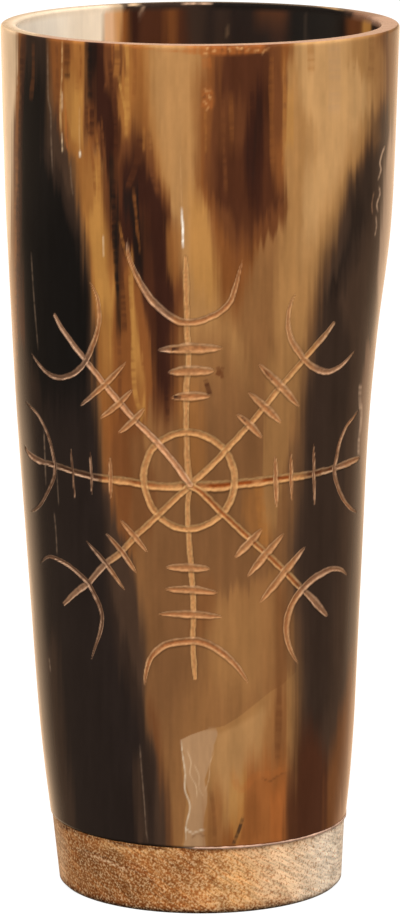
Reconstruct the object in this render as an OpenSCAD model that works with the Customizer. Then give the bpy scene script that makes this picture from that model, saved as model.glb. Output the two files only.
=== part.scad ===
// Drinking tumbler made from a straight length of cattle horn on a turned wooden base.
// A plug on the base is glued into the bored foot of the horn, and resin seals it from inside.
// Lengths are in millimetres. The origin is the centre of the underside, with +Z up.

/* [Cup] */
// Height from the table to the highest point of the rim
cup_height = 155; // [130:1:180]
// How far the horn bows to the left at its waist
bow = 1.2; // [0:0.1:2.5]

/* [Rim] */
// Outside width of the mouth from side to side
rim_width = 70; // [62:0.5:84]
// Outside width of the mouth from front to back
rim_depth = 69; // [62:0.5:84]
// Thickness of the horn at the rim
rim_wall = 3; // [2.5:0.1:4.5]
// How far the mouth's opening sits left of its outside, so the right wall is the thicker
opening_shift = 0.25; // [0:0.05:0.6]
// Radius of the smoothed lip
lip_radius = 0.6; // [0.3:0.1:1.2]
// How much lower the rim is cut at the front than at the back
rim_drop = 0.4; // [0:0.1:2]

/* [Foot of the horn] */
// Outside diameter of the horn where it meets the wood
foot_diameter = 53.4; // [50:0.2:60]
// Natural thickness of the horn at its foot
foot_wall = 5; // [4.6:0.1:7]
// Thickness left round the bore that takes the plug
bored_wall = 3.4; // [2.6:0.1:4]
// Depth of that bore
bore_depth = 8; // [5:0.5:10]

/* [Wooden base] */
// Height of the wood that shows below the horn
base_height = 12.2; // [8:0.1:20]
// Diameter of the wood at the table
base_diameter = 51; // [46:0.5:60]
// Diameter of the wood at its shoulder, under the horn
shoulder_diameter = 52.8; // [49:0.2:60]
// Bevel round the bottom edge
base_bevel = 0.5; // [0.2:0.1:1.5]
// Bevel that leads the plug into the bore
plug_bevel = 0.5; // [0.2:0.1:1]

/* [Glue and seal] */
// Thickness of the glue between the horn and the shoulder
glue_film = 0.3; // [0.1:0.05:0.6]
// Thickness of the glue round the plug
glue_gap = 0.15; // [0.05:0.05:0.3]
// Depth of the resin poured over the plug
seal_depth = 1.5; // [0.8:0.1:4]
// Radius of the resin's edge where it climbs the horn
seal_fillet = 1.2; // [0.4:0.1:2]

/* [Hidden] */

// How far a cut runs past the face that it leaves
overrun = 1;

// Points round each ring of the horn, and rings up each of its faces
ring_points = 64;
wall_rings = 20;
// Steps round each edge of the lip, and round the fillet of the resin
lip_steps = 3;
fillet_steps = 6;
// Segments of the turned parts
turned_segments = 96;
// Power by which the natural wall thins from the foot to the rim
thinning = 2;

// Swell of the horn: share of the way up, then share of the growth from foot to rim
swell_shares = [
    [0, 0], [0.06, 0.11], [0.13, 0.205], [0.27, 0.335], [0.48, 0.53],
    [0.62, 0.695], [0.75, 0.875], [0.86, 0.945], [1, 1]
];
// Bow of the horn: share of the way up, then share of the full bow
bow_shares = [
    [0, 0], [0.2, 0.55], [0.35, 0.8], [0.5, 1], [0.62, 0.75], [0.75, 0.2], [1, 0]
];

horn_bottom = base_height + glue_film;
plug_top = horn_bottom + bore_depth;
spring_height = cup_height - lip_radius - horn_bottom;
bore_radius = foot_diameter / 2 - bored_wall;
plug_radius = bore_radius - glue_gap;
film_radius = min(foot_diameter, shoulder_diameter) / 2;

// Slope of a table of shares at row i
function slope_at(table, i) =
    let (
        before = table[max(i - 1, 0)],
        after = table[min(i + 1, len(table) - 1)]
    )
    (after[1] - before[1]) / (after[0] - before[0]);

// Smooth curve through a table of shares, read at t
function smooth_at(table, t) =
    let (
        passed = len([for (row = table) if (row[0] <= t) row]),
        i = min(passed, len(table) - 1) - 1,
        start = table[i],
        end = table[i + 1],
        width = end[0] - start[0],
        u = (t - start[0]) / width
    )
    start[1] * (1 + 2 * u) * (1 - u) ^ 2
        + end[1] * (3 - 2 * u) * u ^ 2
        + width * slope_at(table, i) * u * (1 - u) ^ 2
        - width * slope_at(table, i + 1) * (1 - u) * u ^ 2;

// Outside radius at the share t of the way up, for a mouth of the given width
function outer_radius(t, mouth) =
    foot_diameter / 2 + (mouth - foot_diameter) / 2 * smooth_at(swell_shares, t);

// Thickness of the horn at the share t of the way up
function wall_at(t) = rim_wall + (foot_wall - rim_wall) * (1 - t) ^ thinning;

// One ring of the horn, moved inward by inset, upward by rise and to the left by shift
function ring(t, inset, rise, shift) = [
    for (k = [0:ring_points - 1])
        let (angle = 360 * k / ring_points)
        [
            (outer_radius(t, rim_width) - inset) * cos(angle) - shift
                - bow * smooth_at(bow_shares, t),
            (outer_radius(t, rim_depth) - inset) * sin(angle),
            horn_bottom + t * spring_height + rise - rim_drop * t ^ 2 * (1 - sin(angle)) / 2
        ]
];

// Rings up the outside, over the lip and down the inside
function horn_rings() = concat(
    [for (i = [0:wall_rings]) ring(i / wall_rings, 0, 0, 0)],
    [for (i = [1:lip_steps])
        let (angle = 90 * i / lip_steps, inset = lip_radius * (1 - cos(angle)))
        ring(1, inset, lip_radius * sin(angle), 0)],
    [for (i = [lip_steps:-1:1])
        let (angle = 90 * i / lip_steps, inset = lip_radius * (1 - cos(angle)))
        ring(1, rim_wall - inset, lip_radius * sin(angle), opening_shift)],
    [for (i = [wall_rings:-1:0])
        let (t = i / wall_rings)
        ring(t, wall_at(t), 0, opening_shift * t)]
);

// Tapering tube of horn before it is bored
module horn_blank() {
    rings = horn_rings();
    count = len(rings);
    faces = [
        for (i = [0:count - 1], k = [0:ring_points - 1], half = [0, 1])
            let (
                next_ring = (i + 1) % count,
                next_point = (k + 1) % ring_points,
                a = i * ring_points + k,
                b = i * ring_points + next_point,
                c = next_ring * ring_points + next_point,
                d = next_ring * ring_points + k
            )
            half == 0 ? [a, d, c] : [a, c, b]
    ];
    polyhedron(points = [for (row = rings, point = row) point], faces = faces, convexity = 4);
}

// Horn with its foot bored for the plug
module horn_wall() {
    color("#4a3021")
    difference() {
        horn_blank();
        translate([0, 0, horn_bottom - overrun])
            cylinder(r = bore_radius, h = bore_depth + overrun, $fn = turned_segments);
    }
}

// Turned base: a tapering band that shows, and the plug above its shoulder
module wood_base() {
    color("#c89a66")
    rotate_extrude($fn = turned_segments)
        polygon([
            [0, 0],
            [base_diameter / 2 - base_bevel, 0],
            [base_diameter / 2, base_bevel],
            [shoulder_diameter / 2, base_height],
            [plug_radius, base_height],
            [plug_radius, plug_top - plug_bevel],
            [plug_radius - plug_bevel, plug_top],
            [0, plug_top]
        ]);
}

// Glue: a film on the shoulder and a sleeve round the plug
module glue_line() {
    color("#d8b79a")
    rotate_extrude($fn = turned_segments)
        polygon([
            [plug_radius, base_height],
            [film_radius, base_height],
            [film_radius, horn_bottom],
            [bore_radius, horn_bottom],
            [bore_radius, plug_top],
            [plug_radius - plug_bevel, plug_top],
            [plug_radius, plug_top - plug_bevel]
        ]);
}

// Resin over the plug, level in the middle and climbing the horn all round
module resin_seal() {
    level = plug_top + seal_depth;
    level_share = (level - horn_bottom) / spring_height;
    edge_radius = outer_radius(level_share, rim_width) - wall_at(level_share);
    blank_radius = foot_diameter / 2 - bored_wall / 2;
    color("#b98a4e")
    difference() {
        translate([-bow * smooth_at(bow_shares, level_share), 0, 0])
            rotate_extrude($fn = turned_segments)
                polygon(concat(
                    [[0, plug_top], [blank_radius, plug_top], [blank_radius, level + seal_fillet]],
                    [for (i = [0:fillet_steps])
                        let (angle = 90 * i / fillet_steps)
                        [
                            edge_radius - seal_fillet * (1 - cos(angle)),
                            level + seal_fillet * (1 - sin(angle))
                        ]],
                    [[0, level]]
                ));
        horn_blank();
    }
}

horn_wall();
wood_base();
glue_line();
resin_seal();
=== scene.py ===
# Looks of a horn tumbler on a turned wooden base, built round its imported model.
# Lengths are in millimetres until a mesh is made, and angles are bearings in degrees:
# 0 is the engraved front, 90 the right side, 180 the back and 270 the left side.
# Places read off the photograph are in its own pixels.
import math

import bpy
import numpy as np
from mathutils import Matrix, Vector


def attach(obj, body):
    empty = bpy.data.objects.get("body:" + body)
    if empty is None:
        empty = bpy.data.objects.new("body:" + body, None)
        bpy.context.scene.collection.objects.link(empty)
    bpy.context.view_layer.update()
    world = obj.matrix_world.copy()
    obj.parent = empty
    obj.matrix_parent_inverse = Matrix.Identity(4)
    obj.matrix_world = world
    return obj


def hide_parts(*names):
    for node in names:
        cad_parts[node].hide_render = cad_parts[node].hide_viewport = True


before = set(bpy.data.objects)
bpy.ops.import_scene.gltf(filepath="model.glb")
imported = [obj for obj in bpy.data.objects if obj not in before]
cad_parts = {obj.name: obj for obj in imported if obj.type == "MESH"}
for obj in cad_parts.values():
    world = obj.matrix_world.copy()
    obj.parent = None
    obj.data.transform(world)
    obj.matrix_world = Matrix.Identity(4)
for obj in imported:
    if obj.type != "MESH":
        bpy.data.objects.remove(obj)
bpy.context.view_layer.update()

METRES = 0.001

# Sizes of the cup, as in its construction
CUP_HEIGHT = 155.0
BOW = 1.2
RIM_WIDTH = 70.0
RIM_DEPTH = 69.0
RIM_WALL = 3.0
OPENING_SHIFT = 0.25
LIP_RADIUS = 0.6
RIM_DROP = 0.4
FOOT_DIAMETER = 53.4
FOOT_WALL = 5.0
BORED_WALL = 3.4
BORE_DEPTH = 8.0
BASE_HEIGHT = 12.2
BASE_DIAMETER = 51.0
SHOULDER_DIAMETER = 52.8
BASE_BEVEL = 0.5
PLUG_BEVEL = 0.5
GLUE_FILM = 0.3
GLUE_GAP = 0.15
SEAL_DEPTH = 1.5
SEAL_FILLET = 1.2
THINNING = 2
SWELL_SHARES = (
    (0, 0), (0.06, 0.11), (0.13, 0.205), (0.27, 0.335), (0.48, 0.53),
    (0.62, 0.695), (0.75, 0.875), (0.86, 0.945), (1, 1),
)
BOW_SHARES = ((0, 0), (0.2, 0.55), (0.35, 0.8), (0.5, 1), (0.62, 0.75), (0.75, 0.2), (1, 0))

HORN_BOTTOM = BASE_HEIGHT + GLUE_FILM
PLUG_TOP = HORN_BOTTOM + BORE_DEPTH
SPRING_HEIGHT = CUP_HEIGHT - LIP_RADIUS - HORN_BOTTOM
HORN_TOP = HORN_BOTTOM + SPRING_HEIGHT
BORE_RADIUS = FOOT_DIAMETER / 2 - BORED_WALL
PLUG_RADIUS = BORE_RADIUS - GLUE_GAP
SEAL_LEVEL = PLUG_TOP + SEAL_DEPTH

# The seam is turned a little out of level, lower on the right, the wood leans the same way,
# and the whole foot sits a little to the left. The powers say how soon that fades up the horn.
SEAM_TILT = 0.3
TILT_POWER = 8
WOOD_LEAN = 0.4
FOOT_SHIFT = 0.3
SHIFT_POWER = 6

# Glue squeezed out over the seam between two bearings, each with its softness, and drawn back
# elsewhere
SQUEEZE_OUT = 0.36
DRAWN_BACK = 0.22
SQUEEZE_SWELL = 0.1
RAGGED_EDGE = 0.05
RAGGED_SHARE = 0.5
RAGGED_TONE_SHARE = 0.2
SQUEEZE_START = (-4, 6)
SQUEEZE_END = (112, 8)

# The camera, in millimetres, and its focal length in pixels of the photograph
PHOTO_WIDE = 400
PHOTO_HIGH = 917
FOCAL_PIXELS = 5141.0
CAMERA_AT = np.array((0.0, -900.0, 251.2))
CAMERA_AIM = np.array((0.0, 0.0, 76.9))
SENSOR = 36.0
CLIP_NEAR = 50.0
CLIP_FAR = 50000.0
# Rounds in which a pixel's place on the horn is found
AIMING_ROUNDS = 12
# Pixels of the photograph to a millimetre at the front of the cup
PHOTO_SCALE = 5.7
# Pixels that lie past the horn's right side, and past everything, and bearings that go all round
PAST_RIGHT = 440
OUT_OF_SIGHT = -99
ALL_ROUND = (-20, 380)

# Two soft lamps, one at each side of the camera, with their powers in watts
LAMP_SIDE = 600
LAMP_FRONT = 850
LAMP_HEIGHT = 1350
LAMP_AIM = (0, 0, 80)
LAMP_SIZE = 700
RIGHT_POWER = 15
LEFT_POWER = 12.5
# The floor: how far it reaches, its glow and its tone
FLOOR_REACH = 6000.0
FLOOR_GLOW = 0.84
FLOOR_TONE = 0.26
WHITE = (1, 1, 1, 1)

# How the surrounding is mirrored, by its direction along each axis: a range of the direction, then
# the strengths at its ends. Last is how strongly it lights what is matt.
MIRROR_BEHIND = ((0.6, 0.97), (0.3, 2.1))
MIRROR_LOW = ((-0.02, 0.14), (1.0, 0.25))
MIRROR_ACROSS = ((-0.2, 0.2), (1.0, 0.75))
MATT_LIGHT = ((-0.4, 1.0), (0.4, 1.0))
# Colour of what the polish mirrors
GLOSS_TINGE = (1.0, 0.68, 0.43, 1)

# Noise of the materials: cells in millimetres, detail, and slope in radians, which is that of the
# wood's growth rings
RING_TURN = 0.62
FIBRES = ((0.67, 0.67, 16), 3.0, 0.0)
MOTTLE = ((3.8, 3.8, 9), 5.0, 0.0)
SPECKS = ((0.4, 0.4, 0.42), 1.0, 0.0)
RINGS = ((4, 4, 0.42), 2.0, RING_TURN)
PATCHES = ((4, 4, 1.8), 2.0, RING_TURN)
BEADS = ((1.1, 1.1, 1.1), 2.0, 0.0)
CLOUDS = ((6, 6, 6), 3.0, 0.0)
NOISE_ROUGHNESS = 0.6
# What that noise does: a range of it, then the values at the range's ends
FIBRE_SHADE = ((0.25, 0.75), (0.975, 1.025))
MOTTLE_SHADE = ((0.3, 0.7), (0.95, 1.05))
SMEARED_POLISH = ((0.3, 0.75), (0.16, 0.24))
PALE_SPECKS = ((0.5, 0.68), (0.0, 0.46))
DARK_SPECKS = ((0.5, 0.33), (0.0, 0.8))
RING_SHADE = ((0.3, 0.7), (0.68, 1.28))
PATCH_SHADE = ((0.3, 0.7), (0.82, 1.14))
BEAD_SHADE = ((0.3, 0.7), (0.75, 1.15))
CLOUD_BLEND = ((0.3, 0.7), (0.0, 1.0))
# What the painted measures do: how dull a cut is, and how strongly a glossy place mirrors
CUT_DULLNESS = ((0.0, 1.0), (0.0, 0.34))
GLOSS_LEVEL = ((0.0, 1.0), (0.0, 0.13))
# Sockets of a mix node that take its two colours
FIRST_COLOUR = 6
SECOND_COLOUR = 7
# Bumps: their strength and their height
FIBRE_BUMPS = (0.03, 0.2)
SPECK_BUMPS = (0.25, 0.1)
# How the wood's pores tint it
PORE_TINT = (0.58, 0.34, 0.18)
# Roughness and sheen of what isn't polished horn, and the refraction of what is clear
WOOD_ROUGHNESS = 0.6
WOOD_SHEEN = 0.06
GLUE_ROUGHNESS = 0.4
GLUE_SHEEN = 0.3
RESIN_ROUGHNESS = 0.1
CLEAR_IOR = 1.5

# Cells of the horn's mesh: fine where it is engraved, coarse elsewhere
ENGRAVED_BEARING = 82.0
ENGRAVED_FOOT = 32.0
ENGRAVED_HEAD = 116.0
FINE_CELL = 0.17
COARSE_CELL = 0.36
BACK_STEP = 1.1
INSIDE_CELL = 1.0
LIP_STEPS = 5
RIM_STEPS = 6
# Radius of the ring round the middle of a turned end, as a share of the end's
HUB_SHARE = 1 / 3
# Cells of the other pieces' meshes
WOOD_CELL = 0.32
GLUE_CELL = 0.25
RESIN_CELL = 0.8
FILLET_STEPS = 7
# Steps between two points of a drawn path
PATH_STEPS = 6

# Bearings where the front's marks end, where the back's colours start, with their softness, and
# where the far side starts
MARKED_BEARING = 84
BACK_START = (86, 5)
FAR_BEARING = 90

# Cells of noise before it repeats
LATTICE = 256
# Layers of noise: strength, width and length of the cells, and seed. They are in pixels on the front,
# in degrees and millimetres round the cup, and in millimetres along and across a cut.
STREAK_WANDER = ((1.6, 9, 80, 1), (2.2, 3.4, 90, 2), (1.9, 1.6, 70, 3))
STREAK_SLIP = ((8, 3, 60, 4), (5, 1.5, 40, 5))
PLY_WANDER = ((0.6, 30, 5, 6),)
HAIR_WANDER = ((1, 3, 30, 7),)
BACK_WANDER = ((2.4, 3, 22, 20), (1.2, 1.4, 8, 21))
FACE_WAVES = ((0.5, 9, 16, 50),)
INSIDE_WANDER = ((1.2, 2, 20, 60),)
LIP_WANDER = ((1.5, 2, 3, 80),)
WOOD_WANDER = ((4, 9, 4, 500),)
GLUE_RAGS = ((1, 2.6, 1, 520), (0.6, 1.1, 1, 521))
MARK_PATCHES = ((0.5, 3, 9, 400),)
EDGE_WOBBLE = ((0.1, 1.8, 1, 40), (0.08, 0.7, 1, 90))
GROOVE_NOISE = ((0.16, 0.5, 0.3, 140),)
RIM_RAGS = ((1, 0.9, 1, 190),)
CORE_PATCHES = ((0.8, 2.4, 9, 240),)
CUT_SPECKS = ((0.2, 0.4, 0.25, 290),)
# Threads of the horn, whose seeds follow the one given, and their strength
THREADS = ((0.12, 1.7, 40, 0), (0.45, 5, 90, 1), (0.3, 3, 16, 2), (0.4, 14, 50, 3), (0.1, 3, 4, 4))
THREAD_STRENGTH = 0.17
FRONT_SEED = 10
BACK_SEED = 30
INSIDE_SEED = 70
LIP_SEED = 84
# Scales of the threads round the horn and on its lip, from degrees and millimetres
ROUND_SCALE = (3, 5)
LIP_SCALE = (5, 40)
INSIDE_THREADS = 0.3
LIP_THREADS = 0.5

# Shallow waves that the polish left on the face, and how soon they start below the rim
WAVE_DEPTH = 0.05
WAVE_RISE = 30
# The worn patch at the left, where the gloss is weaker: its edges, each with its softness, in pixels
WORN_TOP = (200, 50)
WORN_BOTTOM = (430, 40)
WORN_RIGHT = (100, 20)
WORN_LOSS = 0.55
# How dull the lip is beside a fresh cut
LIP_DULLNESS = 0.25

# Ends of a streak: softness as a multiple of its sides', up to a share of its length
END_SOFTNESS = 9
END_SHARE = 0.25
# A mark: how soon its ends taper, how much is left at the very end, how well it covers, and the
# least softness of its sides in pixels
MARK_TAPER = 8
MARK_END_SHARE = 0.02
MARK_COVER = 0.8
LEAST_SOFTNESS = 1

# Colours as they are written in sRGB, 0 to 255
PALETTE = {
    "ink": (24, 21, 19),
    "pitch": (40, 31, 27),
    "umber": (52, 38, 30),
    "bark": (72, 52, 39),
    "oxblood": (56, 29, 20),
    "chestnut": (80, 43, 25),
    "brown": (108, 62, 33),
    "russet": (134, 79, 38),
    "rust": (176, 100, 46),
    "amber": (160, 102, 49),
    "honey": (186, 130, 65),
    "loam": (124, 83, 49),
    "olive": (146, 99, 57),
    "tan": (172, 123, 72),
    "fawn": (184, 136, 85),
    "sand": (200, 152, 98),
    "putty": (178, 138, 100),
    "rose": (204, 164, 132),
    "cream": (222, 186, 146),
    "ivory": (242, 222, 192),
    "white": (255, 244, 226),
    "smoke": (128, 104, 84),
    "oak": (186, 124, 68),
    "straw": (243, 203, 160),
    "biscuit": (152, 98, 52),
    "toffee": (96, 54, 28),
    "blush": (206, 164, 138),
    "clay": (150, 110, 82),
    "shell": (190, 160, 126),
    "caramel": (204, 146, 90),
    "salmon": (200, 140, 96),
    "peach": (232, 182, 138),
    "hollow": (176, 130, 98),
    "groove": (56, 42, 34),
    # Painted highlight on the rims of cuts in dark horn
    "glint": (222, 176, 142),
    "char": (34, 24, 19),
    "burn": (140, 64, 14),
    "linen": (246, 224, 195),
    "wheat": (222, 165, 104),
    "bronze": (178, 122, 76),
    "apricot": (214, 162, 114),
    "copper": (152, 87, 40),
    "maple": (250, 208, 158),
}


def linear(colour):
    """An sRGB colour, 0 to 255, as scene-linear numbers."""
    share = np.asarray(colour, float) / 255
    return np.where(share <= 0.04045, share / 12.92, ((share + 0.055) / 1.055) ** 2.4)


def paint(name, count=None):
    """A named colour, once or for a count of places."""
    colour = linear(PALETTE[name])
    return colour if count is None else np.tile(colour, (count, 1))


def solid(name):
    """A named colour with its alpha, as a shader's socket takes it."""
    return (*paint(name), 1)


def mixed(first, second, share):
    """Two colours mixed, for each share of the second."""
    return first + (second - first) * share[:, None]


def smooth_at(table, t):
    """Smooth curve through a table of shares, read at t."""
    xs, ys = np.array(table, float).T
    before = np.maximum(np.arange(len(xs)) - 1, 0)
    after = np.minimum(np.arange(len(xs)) + 1, len(xs) - 1)
    slopes = (ys[after] - ys[before]) / (xs[after] - xs[before])
    i = np.clip(np.searchsorted(xs, t, "right") - 1, 0, len(xs) - 2)
    width = xs[i + 1] - xs[i]
    u = (t - xs[i]) / width
    return (
        ys[i] * (1 + 2 * u) * (1 - u) ** 2
        + ys[i + 1] * (3 - 2 * u) * u**2
        + width * slopes[i] * u * (1 - u) ** 2
        - width * slopes[i + 1] * (1 - u) * u**2
    )


def outer_radius(t, mouth):
    """Outside radius of the horn at the share t of the way up."""
    return FOOT_DIAMETER / 2 + (mouth - FOOT_DIAMETER) / 2 * smooth_at(SWELL_SHARES, t)


def wall_at(t):
    """Natural thickness of the horn at the share t of the way up."""
    return RIM_WALL + (FOOT_WALL - RIM_WALL) * (1 - t) ** THINNING


def drift(t):
    """How far to the left the horn's middle lies at the share t of the way up."""
    return BOW * smooth_at(BOW_SHARES, t) + FOOT_SHIFT * (1 - t) ** SHIFT_POWER


def horn_point(bearing, t, inset, rise, shift):
    """Points of the horn at a bearing and a share of the way up, inset from its outside."""
    turn = np.radians(bearing)
    x = (outer_radius(t, RIM_WIDTH) - inset) * np.sin(turn) - shift - drift(t)
    y = -(outer_radius(t, RIM_DEPTH) - inset) * np.cos(turn)
    z = HORN_BOTTOM + t * SPRING_HEIGHT + rise - RIM_DROP * t**2 * (1 + np.cos(turn)) / 2
    z = z - SEAM_TILT * (1 - t) ** TILT_POWER * np.sin(turn)
    return np.stack(np.broadcast_arrays(x, y, z), -1)


def camera_axes():
    """The camera's right, up and forward directions."""
    forward = (CAMERA_AIM - CAMERA_AT) / np.linalg.norm(CAMERA_AIM - CAMERA_AT)
    right = np.cross(forward, (0, 0, 1))
    right /= np.linalg.norm(right)
    return right, np.cross(right, forward), forward


def seen_at(points):
    """Where points show in the photograph, in its pixels from its upper left corner."""
    right, up, forward = camera_axes()
    away = points - CAMERA_AT
    depth = away @ forward
    across = PHOTO_WIDE / 2 + FOCAL_PIXELS * (away @ right) / depth
    down = PHOTO_HIGH / 2 - FOCAL_PIXELS * (away @ up) / depth
    return across, down


def on_horn(pixels):
    """The bearing and share of the way up where pixels of the photograph meet the horn."""
    right, up, forward = camera_axes()
    across = (pixels[:, :1] - PHOTO_WIDE / 2) / FOCAL_PIXELS
    above = (PHOTO_HIGH / 2 - pixels[:, 1:]) / FOCAL_PIXELS
    rays = forward + right * across + up * above
    t = np.full(len(pixels), 0.5)
    for _ in range(AIMING_ROUNDS):
        wide = outer_radius(t, RIM_WIDTH)
        deep = outer_radius(t, RIM_DEPTH)
        start = np.stack(((CAMERA_AT[0] + drift(t)) / wide, CAMERA_AT[1] / deep), 1)
        way = np.stack((rays[:, 0] / wide, rays[:, 1] / deep), 1)
        square = (way**2).sum(1)
        half = (start * way).sum(1)
        rest = (start**2).sum(1) - 1
        reach = (-half - np.sqrt(np.maximum(half**2 - square * rest, 0))) / square
        met = start + way * reach[:, None]
        bearing = np.degrees(np.arctan2(met[:, 0], -met[:, 1]))
        level = CAMERA_AT[2] + rays[:, 2] * reach + RIM_DROP * t**2 * (1 - met[:, 1]) / 2
        t = np.clip((level - HORN_BOTTOM) / SPRING_HEIGHT, 0, 1)
    return bearing, t


def unrolled(bearing, t):
    """Places on the horn unrolled: millimetres round it from the front, and up it."""
    round_it = (outer_radius(t, RIM_WIDTH) + outer_radius(t, RIM_DEPTH)) / 2 * np.radians(bearing)
    return np.stack((round_it, t * SPRING_HEIGHT), -1)


def ease(x):
    """Smooth step from 0 to 1 as x goes from -1 to 1."""
    x = np.clip(x / 2 + 0.5, 0, 1)
    return x * x * (3 - 2 * x)


def past(x, edge):
    """Smooth step from 0 to 1 as x passes an edge, given as its place and its softness."""
    return ease((x - edge[0]) / edge[1])


def short_of(x, edge):
    """The same step the other way, from 1 to 0."""
    return ease((edge[0] - x) / edge[1])


def grain(across, along, wide, long, seed):
    """Smooth noise from -1 to 1 whose cells are wide by long."""
    lattice = np.random.default_rng(seed).uniform(-1, 1, (LATTICE, LATTICE))
    u = across / wide
    v = along / long
    i = np.floor(u).astype(int)
    j = np.floor(v).astype(int)
    fu = (u - i) ** 2 * (3 - 2 * (u - i))
    fv = (v - j) ** 2 * (3 - 2 * (v - j))
    low, high = (
        lattice[row % LATTICE, i % LATTICE] * (1 - fu) + lattice[row % LATTICE, (i + 1) % LATTICE] * fu
        for row in (j, j + 1)
    )
    return low * (1 - fv) + high * fv


def layered(across, along, layers, first=0):
    """Noise summed from its layers, with their seeds counted from the first."""
    return sum(
        strength * grain(across, along, wide, long, first + seed)
        for strength, wide, long, seed in layers
    )


def to_right(*rows):
    """Rows of a streak that goes on past the horn's right side, from how far down and its left side."""
    return [(down, left, PAST_RIGHT) for down, left in rows]


def straight(start, end, left, right):
    """Rows of a streak whose sides keep their places from start to end."""
    return (start, left, right), (end, left, right)


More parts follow.
